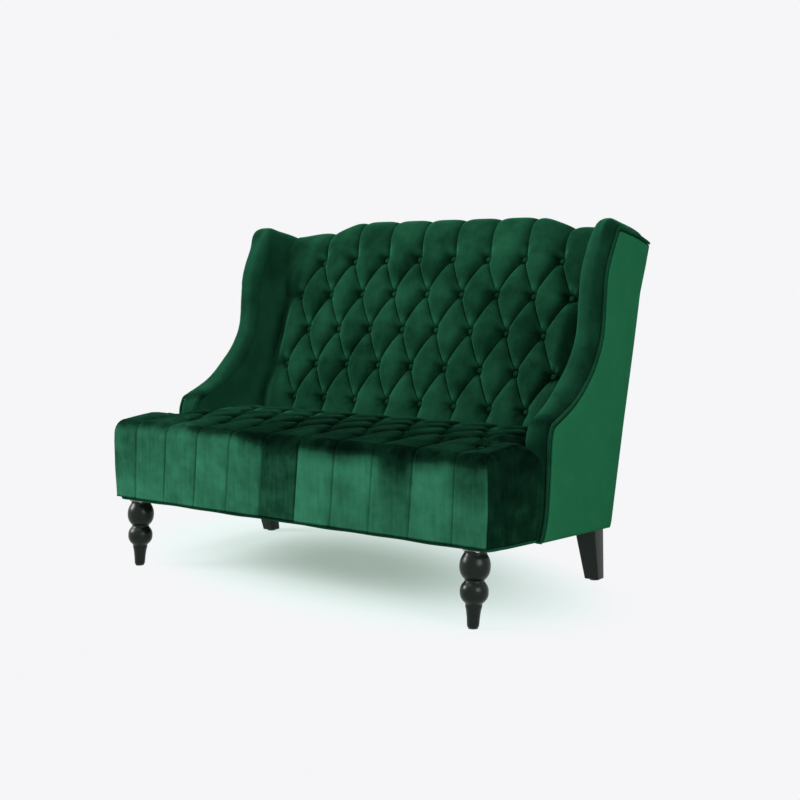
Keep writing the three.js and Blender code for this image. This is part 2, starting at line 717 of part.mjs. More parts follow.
function seatRing(x) {
  const side = Math.max(Math.abs(x) - (seatHalf - seatSideRound), 0) / seatSideRound;
  const sink = seatSideRound * (1 - Math.sqrt(1 - Math.min(side, 1) ** 2));
  const pleat = pleatDepth * (1 - pleatFullnessAt(x / tuftPitch)) * (1 - side);
  const tops = Array.from({ length: seatHalfRows }, (unused, i) => {
    const y = firstRowY + (i * seatRowPitch) / 2;
    return [y, seatCrestAt(y) - seatTuftDepth * (1 - seatFullnessAt(x, y)) - sink];
  });
  const rearZ = seatCrestAt(seatBack) - seatTuftDepth / 2 - sink;
  const firstEdge = [(firstRowY + frontY + seatEdgeRound) / 2,
    seatCrestAt(firstRowY) - seatTuftDepth * (1 - seatFullnessAt(x, frontY)) * edgeTuftShare - sink];
  const edges = seatEdgeShares.map(([alongShare, dropShare]) => {
    const y = frontY + alongShare * seatEdgeRound + pleat;
    return [y, seatCrestAt(frontY + seatEdgeRound) - dropShare * seatEdgeRound - pleat - sink];
  });
  const faceTop = seatCrestAt(frontY) - seatEdgeRound - sink;
  const faceLow = undersideAt(frontY) + apronBottomLift;
  const face = frontFaceShares.map((share) => {
    const tuck = share === 0 || share === 1 ? pleatDepth / 3 : 0;
    const y = frontY + pleat + tuck * (1 - side / 2) + sink / 3;
    return [y, THREE.MathUtils.lerp(faceTop, faceLow, share)];
  });
  const under = archLine(deckFront, tongueBack, deckThickness + 3 * softClearance)
    .filter((point, i) => i % 2 === 0)
    .map((point) => [point.x, point.y]);
  const underFront = under[0][1];
  const ring = [
    [seatBodyY, faceLow],
    [seatBodyY, underFront],
    ...under.slice(1, -1),
    [tongueBack, under[under.length - 1][1]],
    [tongueBack, tongueTop - sink],
    [seatBack, tongueTop - sink],
    [seatBack, rearZ],
    ...tops.reverse(),
    firstEdge,
    ...edges,
    ...face,
  ];
  return ring.map(([y, z]) => new THREE.Vector3(x, y, z));
}

// Even stations on both sides of the middle, none nearer to the reach than a third of a step.
function stationsAcross(reach, step) {
  const count = Math.floor(reach / step - 1 / 3);
  return Array.from({ length: 2 * count + 1 }, (unused, i) => (i - count) * step);
}

function seatStations() {
  const step = tuftPitch / stationsPerPitch;
  const inner = stationsAcross(seatHalf - seatSideRound, step);
  const roundShares = [0, 0.6, 0.9, 1];
  const outer = roundShares.map((share) => seatHalf - seatSideRound * (1 - share));
  return [...outer.map((x) => -x).reverse(), ...inner, ...outer];
}

// The ears' rear edge follows the arm's front and is rounded over at its top.
const earRoundShares = [[0.024, 0.8528], [0.155, 0.9051], [0.344, 0.9393], [0.718, 0.9779], [1, 1.0462]];
const armFront = offsetLine(sideLine, boxingBulge + softClearance);
const earLine = armFront.filter((point, i) => sideLine[i].y <= padStep[1]);

function armRoom() {
  const low = new THREE.Vector2(earLine[0].x, -overrun);
  const corner = pointAtHeight(armFront, earRoundShares[0][1] * seatHeight).x;
  const round = earRoundShares.map(([forwardShare, heightShare]) =>
    new THREE.Vector2(corner - forwardShare * earRoundReach, heightShare * seatHeight));
  const high = new THREE.Vector2(round[round.length - 1].x, overallHeight);
  const rear = tongueBack + overrun;
  const outline = [low, ...earLine, ...round, high, new THREE.Vector2(rear, high.y),
    new THREE.Vector2(rear, low.y)].reverse();
  return sideBoard(outline, deckReach, halfWidth + overrun);
}

function earSkirt() {
  const start = seatBodyY - apronThickness / 2;
  const end = sideLine[earLine.length - 1].x;
  const high = seatCrestAt(frontY) - seatEdgeRound;
  const outline = [[start, undersideAt(start) + apronBottomLift], [end, undersideAt(end) + apronBottomLift],
    [end, high], [start, high]];
  return sideBoard(outline.map(([y, z]) => new THREE.Vector2(y, z)), padOuter + clearance, seatHalf);
}

function tuftedSeat() {
  const mirror = (geometry) => toSolid(geometry).mirror([1, 0, 0]);
  const room = armRoom();
  const skirt = earSkirt();
  const pad = toSolid(loftedSolid(seatStations().map(seatRing))).add(toSolid(skirt)).add(mirror(skirt));
  return fromSolid(pad.subtract(toSolid(room)).subtract(mirror(room)));
}

addPiece("tufted_seat", tuftedSeat(), velvet);

// Welt cord along the bottom of the seat's front and sides
function baseWelt() {
  const x = seatHalf - weltRadius;
  const front = frontY + pleatDepth + weltRadius;
  const end = earLine[0].x - weltRadius;
  const bend = seatSideRound / 2;
  const side = [end, (end + front) / 2, front + bend];
  const right = side.map((y) => [x, y]);
  const corner = [[x - bend / 3, front + bend / 3], [x - bend, front]];
  const half = [...right, ...corner];
  const path = [...half, [0, front], ...half.map(([px, py]) => [-px, py]).reverse()];
  const lift = weltRadius + clearance;
  const points = path.map(([px, py]) => new THREE.Vector3(px, py, undersideAt(py) + lift));
  return cordAlong(points, weltRadius, weltSteps, weltSides);
}

addPiece("seat_base_welt", baseWelt(), velvetTrim);

// Back frame, in the raked plane: X across, Y behind the plane, Z up the rake
const crownShares = [0.5, 0.73, 1];
const archedSteps = 36;

// How far the arched top of the back lies under its middle.
function crestDropAt(x) {
  const share = Math.abs(x) / padOuter;
  return crownDrop * smooth(share, crownShares[0], crownShares[1])
    + shoulderDrop * smooth(share, crownShares[1], crownShares[2]);
}

// Length up the rake at which the crest lies, so that its height is the overall height.
const crestRise = (overallHeight - rearUnderside + crestSetback * Math.sin(rake)) / Math.cos(rake);
const railTop = crestRise - railUnderCrest;
const topRailLow = railTop - crownDrop - shoulderDrop - topRailDepth / 2;
const bottomRailLow = (seatSupportHeight - rearUnderside) / Math.cos(rake) + railLift;
const frameBack = -backPanelThickness - clearance;

function archedOutline(reach, low, lift, steps) {
  const top = Array.from({ length: steps + 1 }, (unused, i) => {
    const x = reach - (2 * reach * i) / steps;
    return new THREE.Vector2(x, railTop + lift - crestDropAt(x));
  });
  return [new THREE.Vector2(-reach, low), new THREE.Vector2(reach, low), ...top];
}

const topRailOutline = archedOutline(padOuter, topRailLow, 0, archedSteps);
addPiece("back_top_rail", faceBoard(topRailOutline, frameFront, frameBack), hardwood, backFrame);
addPair("back_post", block(postGap, padOuter, frameFront, frameBack, railLift + blockHeight,
  topRailLow - clearance), hardwood, backFrame);
addPiece("back_bottom_rail", block(-postGap + clearance, postGap - clearance, frameFront, frameBack,
  bottomRailLow, bottomRailLow + bottomRailDepth), hardwood, backFrame);
addPiece("back_upright", block(-uprightWidth / 2, uprightWidth / 2, frameFront, frameBack,
  bottomRailLow + bottomRailDepth + clearance, topRailLow - clearance), hardwood, backFrame);

const webFront = frameFront - clearance - webThickness;
for (let i = 0; i < webCount; i++) {
  const share = (i + 1) / (webCount + 1);
  const middle = THREE.MathUtils.lerp(bottomRailLow + bottomRailDepth, topRailLow, share);
  addPiece(`back_web_${i + 1}`, block(-postGap - postWidth / 2, postGap + postWidth / 2, webFront,
    webFront + webThickness, middle - webWidth / 2, middle + webWidth / 2), webbing, backFrame);
}

// Outer back: its top follows the arch between the wings and rises behind each wing, up to the band.
function outerBackOutline() {
  const inner = innerFaceAt(overallHeight) + clearance;
  const under = sideOutline(boxingDepth + clearance, clearance, railLift);
  const rear = under.filter((point) => behindBack(point.x, point.y) > 0);
  const high = Math.max(...rear.map((point) => upBack(point.x, point.y))) - clearance;
  const [footLeft, footRight, ...arch] = archedOutline(boardOuter, 0, -clearance, archedSteps);
  const low = railTop - clearance - crestDropAt(inner);
  const shoulder = [[boardOuter, high], [inner, high], [inner, low]].map(([x, s]) => new THREE.Vector2(x, s));
  const mirrored = shoulder.map((point) => new THREE.Vector2(-point.x, point.y)).reverse();
  return [footLeft, footRight, ...shoulder, ...arch.filter((point) => Math.abs(point.x) < inner), ...mirrored];
}

addPiece("back_outer_panel", faceBoard(outerBackOutline(), -backPanelThickness, 0), velvetPanel, backFrame);

// Tufted back: diamonds over a lumbar swell, pleats over the arched top, a roll behind it
const firstBackRow = crestRise - firstBackRowDrop;
const rowsToFoot = (firstBackRow - padFoot) / backRowPitch;
const lastRow = Math.floor(rowsToFoot);
const halfRowCount = Math.floor(2 * rowsToFoot) + 2;
const topDepthShare = 0.5;
const swellShare = 0.78;
const pitchHeightShare = 0.66;
const sideEdgeShare = 0.985;
const rollSideShare = 0.7;
const rollShares = [[-0.36, -0.05], [0, 0], [0.42, -0.085], [0.8, -0.26], [1, -0.56], [0.92, -0.8],
  [0.72, -0.93]];
const patternReach = innerFaceAt(overallHeight * pitchHeightShare);

// Depth of the button line in front of the raked plane, at a count of rows below the first.
function buttonDepthAt(v) {
  const down = THREE.MathUtils.clamp(v / lastRow, 0, 1);
  return lumbarDepth * THREE.MathUtils.lerp(topDepthShare, 1, down ** swellShare);
}

function backFullnessAt(u, v) {
  if (v <= 0) return pleatFullnessAt(u);
  return v >= lastRow ? pleatFullnessAt(u + lastRow / 2) : diamondFullness(u, v);
}

function backRing(share) {
  const reachAt = (t, s) => {
    const z = rearUnderside + s * Math.cos(rake) - t * Math.sin(rake);
    return innerFaceAt(z) - 2 * softClearance;
  };
  const u = (share * patternReach) / tuftPitch;
  const drop = crestDropAt(share * reachAt(padBack, railTop));
  const edge = 1 - smooth(1 - Math.abs(share), 0, sideRecessReach / padOuter);
  const rows = Array.from({ length: halfRowCount }, (unused, i) => (halfRowCount - i) / 2 - 1);
  const front = rows.map((v) => {
    const s = firstBackRow - v * backRowPitch - (v < 0 ? drop / 2 : 0);
    const swell = backTuftDepth * backFullnessAt(u, v) * (1 - edge);
    const setback = v < 0 ? (-v * backRowPitch) / 4 : 0;
    const depth = buttonDepthAt(v) - setback;
    const wanted = THREE.MathUtils.lerp(sideRecess, footRecess, smooth(v, lastRow / 2, lastRow));
    const recess = Math.min(wanted, depth + padBack - thinnestPad);
    return [-depth - swell + recess * edge, s];
  });
  const pleat = pleatDepth * (1 - pleatFullnessAt(u));
  const rise = crestRise - railTop;
  const roll = rollShares.map(([depthShare, dropShare]) => {
    const reach = depthShare < 0 ? -crestSetback : rollSetback - crestSetback;
    const aside = depthShare > rollSideShare;
    const t = crestSetback + depthShare * reach - (aside ? pleat : 0);
    return [t, crestRise + dropShare * rise - drop - (aside ? 0 : pleat)];
  });
  const seat = railTop + 4 * softClearance - drop;
  const ring = [
    [-padFootDepth + footRecess * edge, padFoot],
    [padBack, padFoot],
    [padBack, (padFoot + seat) / 2],
    [padBack, seat],
    [rollSetback / 3, seat],
    ...roll.reverse(),
    ...front.reverse(),
  ];
  return ring.map(([t, s]) => new THREE.Vector3(share * reachAt(t, s), t, s));
}

function backStations() {
  const step = tuftPitch / stationsPerPitch / patternReach;
  return [-1, -sideEdgeShare, ...stationsAcross(sideEdgeShare, step), sideEdgeShare, 1];
}

addPiece("tufted_back", loftedSolid(backStations().map(backRing)), velvet, backFrame);

export default loveseat;
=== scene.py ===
import math
import bpy
import numpy as np
from mathutils import Matrix, Vector


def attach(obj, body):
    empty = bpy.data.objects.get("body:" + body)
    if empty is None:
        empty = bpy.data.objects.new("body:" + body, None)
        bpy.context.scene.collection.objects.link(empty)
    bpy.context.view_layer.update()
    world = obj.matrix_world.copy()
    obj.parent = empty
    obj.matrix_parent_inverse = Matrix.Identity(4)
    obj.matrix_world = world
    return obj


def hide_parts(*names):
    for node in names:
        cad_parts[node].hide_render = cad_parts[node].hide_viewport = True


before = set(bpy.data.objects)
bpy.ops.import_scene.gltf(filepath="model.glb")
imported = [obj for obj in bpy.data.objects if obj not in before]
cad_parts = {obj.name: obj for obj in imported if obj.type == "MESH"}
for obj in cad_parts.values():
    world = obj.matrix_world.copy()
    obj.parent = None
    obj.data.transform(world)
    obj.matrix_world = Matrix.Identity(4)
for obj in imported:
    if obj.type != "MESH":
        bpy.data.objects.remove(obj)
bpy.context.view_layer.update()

# Sizes in millimetres, as the frame has them: X to the right, Y to the back, Z up
MM = 0.001
HALF_WIDTH = 638.175
FRONT_Y = -431.8
DEPTH = 863.6
HEIGHT = 977.9
ARM_HEIGHT = 440.0
SEAT_HEIGHT = 430.0
FRONT_UNDERSIDE = 190.0
REAR_UNDERSIDE = 150.0
BODY_DEPTH = 598.0
BACK_FOOT_Y = 166.2
RAKE = math.radians(14.25)
PAD_OUTER = 607.575
BOARD_OUTER = 625.875
WELT_INNER = 629.475
WELT_RADIUS = 4.2
DECK_REACH = 565.5
ARM_REACH = 607.4
SEAT_HALF = 628.65
SEAT_BACK = 60.4
SEAT_EDGE_LIFT = 8.2
GLIDE_TOP = 3.3
PLATE_GAP = 6.5
SIDES = (1.0, "right"), (-1.0, "left")

# Tufting: buttons are a pitch apart; a pattern is its last row, the reach of its even and odd rows, and its row pitch
PITCH = 119.1
CELLS = 24
PATTERN_REACH = 570.2
BACK_PATTERN = (4, 3.5, 4.0, 111.0)
BACK_FIRST_ROW = 721.26
BACK_ROWS_DOWN = 4.583
SEAT_PATTERN = (3, 4.5, 4.0, 108.0)
SEAT_FIRST_ROW = -315.0
BUTTON_RADIUS = 9.6
BUTTON_RISE = 6.2


# Camera

def placed(name, data):
    """A new object of the scene, for a mesh, a camera or a lamp."""
    made = bpy.data.objects.new(name, data)
    bpy.context.scene.collection.objects.link(made)
    return made


def add_camera():
    """Yaw turns the view about Z, pitch tips it down and roll turns the picture; the sensor is 36 mm across."""
    yaw, pitch, roll = 0.6354, 0.1068, -0.0091
    data = bpy.data.cameras.new("camera")
    data.sensor_width = 36
    data.lens = 58.46
    data.clip_end = 60
    camera = placed("camera", data)
    camera.matrix_world = (Matrix.Translation((2.1967, -2.8917, 0.8575)) @ Matrix.Rotation(yaw, 4, "Z")
                           @ Matrix.Rotation(math.pi / 2 - pitch, 4, "X") @ Matrix.Rotation(roll, 4, "Z"))
    bpy.context.scene.camera = camera


add_camera()


# Material nodes

class Value:
    """A socket on its way through a material's nodes; arithmetic on it adds Math nodes."""

    def __init__(self, finish, socket):
        self.finish = finish
        self.socket = socket

    def math(self, operation, *others):
        return self.finish.node("ShaderNodeMath", {"operation": operation}, dict(enumerate((self, *others))))

    def __add__(self, other):
        return self.math("ADD", other)

    def __sub__(self, other):
        return self.math("SUBTRACT", other)

    def __rsub__(self, other):
        return self.math("MULTIPLY", -1.0).math("ADD", other)

    def __mul__(self, other):
        return self.math("MULTIPLY", other)

    __radd__ = __add__
    __rmul__ = __mul__


class Finish:
    """The nodes of one procedural material or of the world; every node in it comes from the same method."""

    def __init__(self, name, world=False):
        self.owner = bpy.data.worlds.new(name) if world else bpy.data.materials.new(name)
        self.owner.use_nodes = True
        self.tree = self.owner.node_tree
        self.tree.nodes.clear()
        if not world:
            self.place = self.node("ShaderNodeTexCoord", output="Object")

    def node(self, kind, settings=None, inputs=None, output=0):
        """Adds a node: first its settings or a ramp's stops, then the value or link of each socket."""
        made = self.tree.nodes.new(kind)
        for key, value in (settings or {}).items():
            if key == "stops":
                for _ in value[2:]:
                    made.color_ramp.elements.new(1.0)
                for element, (position, colour) in zip(made.color_ramp.elements, value):
                    element.position = position
                    element.color = (*colour, 1)
            else:
                setattr(made, key, value)
        for key, value in (inputs or {}).items():
            if isinstance(value, Value):
                self.tree.links.new(value.socket, made.inputs[key])
            else:
                made.inputs[key].default_value = value
        return Value(self, made.outputs[output]) if made.outputs else None

    def stretched(self, scale):
        return self.node("ShaderNodeMapping", {}, {"Vector": self.place, "Scale": scale})

    def noise(self, scale, detail=2.0, roughness=0.5, vector=None):
        inputs = {"Vector": vector or self.place, "Scale": scale, "Detail": detail, "Roughness": roughness}
        return self.node("ShaderNodeTexNoise", {}, inputs)

    def ramp(self, level, stops):
        return self.node("ShaderNodeValToRGB", {"stops": stops}, {"Fac": level})

    def done(self, shader, kind="ShaderNodeOutputMaterial"):
        self.node(kind, {}, {"Surface": shader})
        return self.owner

    def surface(self, colour, roughness, height, strength, distance, others=None):
        """The finished material, with a bump of a height, a strength and a distance in metres."""
        normal = self.node("ShaderNodeBump", {}, {"Height": height, "Strength": strength, "Distance": distance})
        inputs = {"Base Color": colour, "Roughness": roughness, "Normal": normal, **(others or {})}
        return self.done(self.node("ShaderNodeBsdfPrincipled", {}, inputs))


def velvet(name, smudge, streak, sheen, tint=(1.0, 1.0, 1.0)):
    """Pile velvet: its lightness follows the nap laid in each piece, with painted highlights and painted shade in
    places, and hand smudges, streaks and a fine pile.
    """
    finish = Finish(name)
    tinted = lambda colour: tuple(part * share for part, share in zip(colour, tint))
    nap = finish.node("ShaderNodeAttribute", {"attribute_name": "nap"}, output="Fac")
    broad = finish.noise(7.0, 3.0, 0.55)
    hand = finish.noise(24.0, 3.0, 0.6)
    brushed = finish.noise(1.0, 3.0, 0.6, finish.stretched((95.0, 95.0, 9.0)))
    pile = finish.noise(1400.0, 1.0)
    blotch = (broad - 0.5) * smudge + (hand - 0.5) * (smudge * 0.5)
    level = nap + blotch + (brushed - 0.5) * streak + (pile - 0.5) * 0.22
    pile_colours = [(0.0, (0.0007, 0.0042, 0.0022)), (0.28, (0.0028, 0.0190, 0.0096)),
                    (0.6, (0.0118, 0.0750, 0.0390)), (1.0, (0.0260, 0.1600, 0.0860))]
    colour = finish.ramp(level, [(place, tinted(shown)) for place, shown in pile_colours])
    height = pile * 0.6 + finish.noise(420.0, 2.0) * 0.5
    return finish.surface(colour, 0.85, height, 0.35, 0.0006, {
        "Specular IOR Level": 0.0, "Sheen Weight": sheen, "Sheen Roughness": 0.34,
        "Sheen Tint": (*tinted((0.085, 0.52, 0.27)), 1.0)})


def timber(name, light, dark, along, rings=14.0):
    """Sawn wood: bands of growth stretched along one axis, with pores and a slightly rough surface."""
    finish = Finish(name)
    scale = tuple(rings * (0.08 if axis == along else 1.0) for axis in range(3))
    grain = finish.noise(3.0, 6.0, 0.62, finish.stretched(scale))
    pores = finish.noise(30.0, 2.0, 0.6, finish.stretched(scale))
    level = grain * 0.8 + pores * 0.35
    colour = finish.ramp(level, [(0.35, dark), (0.75, light)])
    return finish.surface(colour, level * 0.25 + 0.5, level, 0.25, 0.0008, {"Specular IOR Level": 0.3})


def lacquer(name):
    """Black satin lacquer over turned wood: faint brush marks along the grain and slightly uneven gloss."""
    finish = Finish(name)
    marks = finish.noise(1.0, 3.0, 0.6, finish.stretched((160.0, 160.0, 14.0)))
    cloud = finish.noise(18.0, 3.0, 0.6)
    colour = finish.ramp(cloud, [(0.3, (0.0020, 0.0064, 0.0032)), (0.75, (0.0042, 0.0108, 0.0060))])
    return finish.surface(colour, cloud * 0.14 + marks * 0.08 + 0.2, marks * 0.6 + cloud * 0.4, 0.12, 0.0006,
                          {"Specular IOR Level": 0.2})


def metal(name, colour, roughness):
    """Plated steel: fine drawn lines and dull spots."""
    finish = Finish(name)
    drawn = finish.noise(1.0, 2.0, 0.5, finish.stretched((900.0, 60.0, 900.0)))
    spots = finish.noise(60.0, 3.0)
    dull = tuple(0.62 * part for part in colour)
    return finish.surface(finish.ramp(spots, [(0.35, dull), (0.65, colour)]),
                          drawn * 0.15 + spots * 0.12 + roughness, drawn, 0.1, 0.0003, {"Metallic": 1.0})


def woven(name, dark, light, threads):
    """Plain weave: two crossing sets of threads raise and shade the cloth, with a little unevenness."""
    finish = Finish(name)
    warp, weft = (finish.node("ShaderNodeTexWave", {"bands_direction": axis},
                              {"Vector": finish.place, "Scale": threads}) for axis in "XY")
    level = warp.math("MAXIMUM", weft) * 0.45 + finish.noise(26.0, 4.0, 0.6) * 0.6
    colour = finish.ramp(level, [(0.25, dark), (0.85, light)])
    return finish.surface(colour, 0.9, level, 0.4, 0.0008, {"Specular IOR Level": 0.15})


def moulded(name, dark, light):
    """Moulded nylon: fine grain and a worn, paler bloom."""
    finish = Finish(name)
    grain = finish.noise(700.0, 2.0)
    worn = finish.noise(40.0, 3.0)
    return finish.surface(finish.ramp(worn, [(0.4, dark), (0.8, light)]), worn * 0.2 + 0.4, grain, 0.2, 0.0004)


# Finishes: for a new piece, each with the record's slot that it belongs to

TUFTED_VELVET = velvet("velvet_tufted", 0.4, 0.08, 0.45, (1.02, 1.02, 0.98)), "velvet"
SEAT_VELVET = velvet("velvet_seat", 0.8, 0.26, 0.08, (1.2, 1.06, 1.1)), "velvet"
WING_VELVET = velvet("velvet_wing", 0.3, 0.08, 0.45), "velvet"
PANEL_VELVET = velvet("velvet_panel", 0.16, 0.08, 0.15, (0.8, 1.06, 0.88)), "velvet_panel"
TRIM_VELVET = velvet("velvet_trim", 0.3, 0.1, 0.4), "velvet_trim"
LEG_LACQUER = lacquer("black_lacquer"), "black_lacquer"
DUST_CLOTH = woven("dust_cloth", (0.008, 0.008, 0.009), (0.03, 0.03, 0.032), 380.0), "dust_cloth"
DECK_CLOTH = woven("deck_cloth", (0.33, 0.29, 0.21), (0.58, 0.52, 0.40), 240.0), "deck_cloth"
HARDWOOD = timber("hardwood", (0.46, 0.29, 0.15), (0.27, 0.15, 0.07), 0)
PLYWOOD = timber("plywood", (0.60, 0.43, 0.25), (0.42, 0.27, 0.13), 2, 9.0)
STEEL = metal("steel", (0.52, 0.53, 0.54), 0.28)
WEBBING = woven("webbing", (0.12, 0.085, 0.05), (0.30, 0.23, 0.15), 150.0)
NYLON = moulded("nylon", (0.012, 0.012, 0.013), (0.05, 0.05, 0.052))


# Curves, grids and meshes

def joined(*parts, axis=0):
    """Arrays one after another."""
    return np.concatenate(parts, axis)


def packed(*columns):
    """Points from their coordinates, each a number or an array."""
    return np.stack(np.broadcast_arrays(*columns), axis=-1)


def unit(vectors):
    """Vectors scaled to length 1."""
    return vectors / (np.linalg.norm(vectors, axis=-1, keepdims=True) + 1e-9)


def smooth(value, start, end):
    """0 before start and 1 past end, eased by 3 s squared less 2 s cubed between them."""
    share = np.clip((value - start) / (end - start), 0, 1)
    return share * share * (3 - 2 * share)


def bell(value, middle, width):
    """1 at the middle, falling on both sides as e to the minus square of the distance in widths."""
    return np.exp(-(((value - middle) / width) ** 2))


def through(knots, values, at):
    """Cubic curve through the values at the knots: each inner tangent is the slope between its neighbours."""
    knots, values, at = (np.asarray(x, float) for x in (knots, values, at))
    if knots[0] > knots[-1]:
        knots, values = knots[::-1], values[::-1]
    slopes = np.gradient(values, knots)
    i = np.clip(np.searchsorted(knots, at) - 1, 0, len(knots) - 2)
    span = knots[i + 1] - knots[i]
    s = np.clip((at - knots[i]) / span, 0, 1)
    return (values[i] * (2 * s**3 - 3 * s**2 + 1) + values[i + 1] * (3 * s**2 - 2 * s**3)
            + span * (slopes[i] * (s**3 - 2 * s**2 + s) + slopes[i + 1] * (s**3 - s**2)))


def arc(points):
    """Length along a line of points, from its first point."""
    return joined([0], np.cumsum(np.linalg.norm(np.diff(points, axis=0), axis=1)))


def at_shares(line, shares):
    """Points at shares of a line's length, straight between its own points."""
    line = np.asarray(line, float)
    length = arc(line)
    return packed(*(np.interp(shares * length[-1], length, column) for column in line.T))


def spaced(points, count):
    """A line resampled at even lengths on a smooth curve through its points."""
    length = arc(points)
    at = np.linspace(0, length[-1], count)
    return at_shares(packed(*(through(length, column, at) for column in points.T)), np.linspace(0, 1, count))


def normals_2d(line):
    """Unit normals on the left of a line of plane points."""
    along = unit(np.gradient(line, axis=0))
    return packed(-along[:, 1], along[:, 0])


def grid_faces(rows, columns, wrapped=False, falling=False):
    """Triangles over a grid of points; each cell is cut from one corner to the other, or the other way if falling."""
    index = np.arange(rows * columns).reshape(rows, columns)
    if wrapped:
        index = joined(index, index[:, :1], axis=1)
    a, b, c, d = index[:-1, :-1], index[:-1, 1:], index[1:, :-1], index[1:, 1:]
    falling = np.broadcast_to(falling, a.shape)[..., None]
    first = np.where(falling, packed(a, b, c), packed(a, b, d))
    second = np.where(falling, packed(b, d, c), packed(a, d, c))
    return joined(first.reshape(-1, 3), second.reshape(-1, 3))


def new_piece(name, points, faces, finish, nodes=(), nap=None, caps=(), sharp=None):
    """A mesh of points in millimetres, turned to face outward by the sign of its volume, riding on the frame."""
    points = np.asarray(points, float).reshape(-1, 3)
    assert np.isfinite(points).all(), name
    corners = points[faces]
    volume = np.einsum("ij,ij->", corners[:, 0], np.cross(corners[:, 1], corners[:, 2]))
    for cap in caps:
        volume += points[cap].mean(axis=0) @ np.cross(points[cap], points[np.roll(cap, -1)]).sum(axis=0)
    step = 1 if volume > 0 else -1
    polygons = [face[::step] for face in faces.tolist()] + [list(cap)[::step] for cap in caps]
    mesh = bpy.data.meshes.new(name)
    mesh.from_pydata((points * MM).tolist(), [], polygons)
    mesh.shade_smooth()
    if nap is not None:
        layer = mesh.attributes.new("nap", "FLOAT", "POINT")
        layer.data.foreach_set("value", np.ascontiguousarray(np.broadcast_to(nap, len(points)), np.float32))
    if sharp:
        mesh.set_sharp_from_angle(angle=math.radians(sharp))
    material, slot = finish
    mesh.materials.append(material)
    piece = placed(name, mesh)
    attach(piece, "root")
    if nodes:
        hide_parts(*nodes)
    return piece


def loft(name, rings, finish, nodes, nap=None, falling=False, sharp=None):
    """A closed body through equal rings of points, with a flat cap on the first and last."""
    count, size = rings.shape[:2]
    first = np.arange(size)
    if nap is not None:
        nap = np.broadcast_to(nap, (count, size)).reshape(-1)
    return new_piece(name, rings, grid_faces(count, size, True, falling), finish, nodes, nap,
                     (first[::-1], first + (count - 1) * size), sharp)


def board(name, front, back, finish, nodes, nap):
    """A closed board between a front and a back grid of points, joined round their rims."""
    rows, columns = front.shape[:2]
    half = rows * columns
    index = np.arange(half).reshape(rows, columns)
    rim = joined(index[0], index[1:, -1], index[-1, -2::-1], index[-2:0:-1, 0])
    after = np.roll(rim, -1)
    faces = grid_faces(rows, columns)
    faces = joined(faces, faces[:, ::-1] + half, packed(rim, rim + half, after + half),
                   packed(rim, after + half, after))
    nap = np.tile(np.broadcast_to(nap, (rows, columns)).reshape(-1), 2)
    return new_piece(name, joined(front.reshape(-1, 3), back.reshape(-1, 3)), faces, finish, nodes, nap)


def tube(name, line, radius, facing, nodes, nap, sides=14):
    """A round welt: a circle in the plane across the line at each of its points, closed at both ends.

    The line keeps to a plane, or nearly so, that faces along the given axis, so the circles never twist."""
    along = unit(np.gradient(line, axis=0))
    across = unit(np.cross(along, facing))
    other = np.cross(along, across)
    turn = np.linspace(0, 2 * np.pi, sides, endpoint=False)[:, None]
    radius = np.broadcast_to(radius, len(line))[:, None, None]
    rings = line[:, None] + radius * (np.cos(turn) * across[:, None] + np.sin(turn) * other[:, None])
    loft(name, rings, TRIM_VELVET, nodes, nap)


def coons(front, rear, bottom, top, up, across):
    """A grid filled between four edge lines: the two ruled surfaces added, less the plane of the corners."""
    s, t = up[:, None, None], across[:, None]
    corners = (1 - s) * (1 - t) * bottom[0] + (1 - s) * t * bottom[-1] + s * (1 - t) * top[0] + s * t * top[-1]
    return (1 - t) * front[:, None] + t * rear[:, None] + (1 - s) * bottom + s * top - corners


# Shapes shared by the pieces

def underside_at(y):
    """Height of the underside: one straight slope from the front to the back's foot."""
    return FRONT_UNDERSIDE + (REAR_UNDERSIDE - FRONT_UNDERSIDE) * (y - FRONT_Y) / BODY_DEPTH


def inner_face_at(z):
    """Inner face of a side: 72 mm from the outside at the seat's level, 64 mm at the top."""
    return HALF_WIDTH - (72.0 - 8.0 * (z - 300.0) / (HEIGHT - 300.0))


def raked_z(t, s):
    """Height of a point behind the back's raked plane and up the rake."""
    return REAR_UNDERSIDE + s * math.cos(RAKE) - t * math.sin(RAKE)


def raked(x, t, s):
    """Points of the back's plane (across, behind it, up the rake) turned into the room."""
    return packed(x, BACK_FOOT_Y + t * math.cos(RAKE) + s * math.sin(RAKE), raked_z(t, s))


def behind_back(y, z):
    """Distance of a side-view point behind the back's raked plane."""
    return (y - BACK_FOOT_Y) * math.cos(RAKE) - (z - REAR_UNDERSIDE) * math.sin(RAKE)


def crest_drop_at(x):
    """How far the arched top lies under its middle: one ease over the shoulder and a smaller one past it."""
    share = np.abs(x) / PAD_OUTER
    return 32.0 * smooth(share, 0.5, 0.73) + 12.0 * smooth(share, 0.73, 1.0)


def nearest_button(u, v, pattern):
    """Offset in millimetres from the nearest button: even rows have theirs halfway between whole pitches."""
    last, half_reach, whole_reach, row_pitch = pattern
    halves = np.clip(np.floor(u) + 0.5, -half_reach, half_reach)
    wholes = np.clip(np.round(u), -whole_reach, whole_reach)
    found = []
    for row in (np.clip(np.floor(v), 0, last), np.clip(np.ceil(v), 0, last)):
        x = (u - np.where(row % 2 == 0, halves, wholes)) * PITCH
        up = (row - v) * row_pitch
        found.append((x, up, np.hypot(x, up)))
    nearer = found[1][2] < found[0][2]
    return [np.where(nearer, new, old) for old, new in zip(*found)]


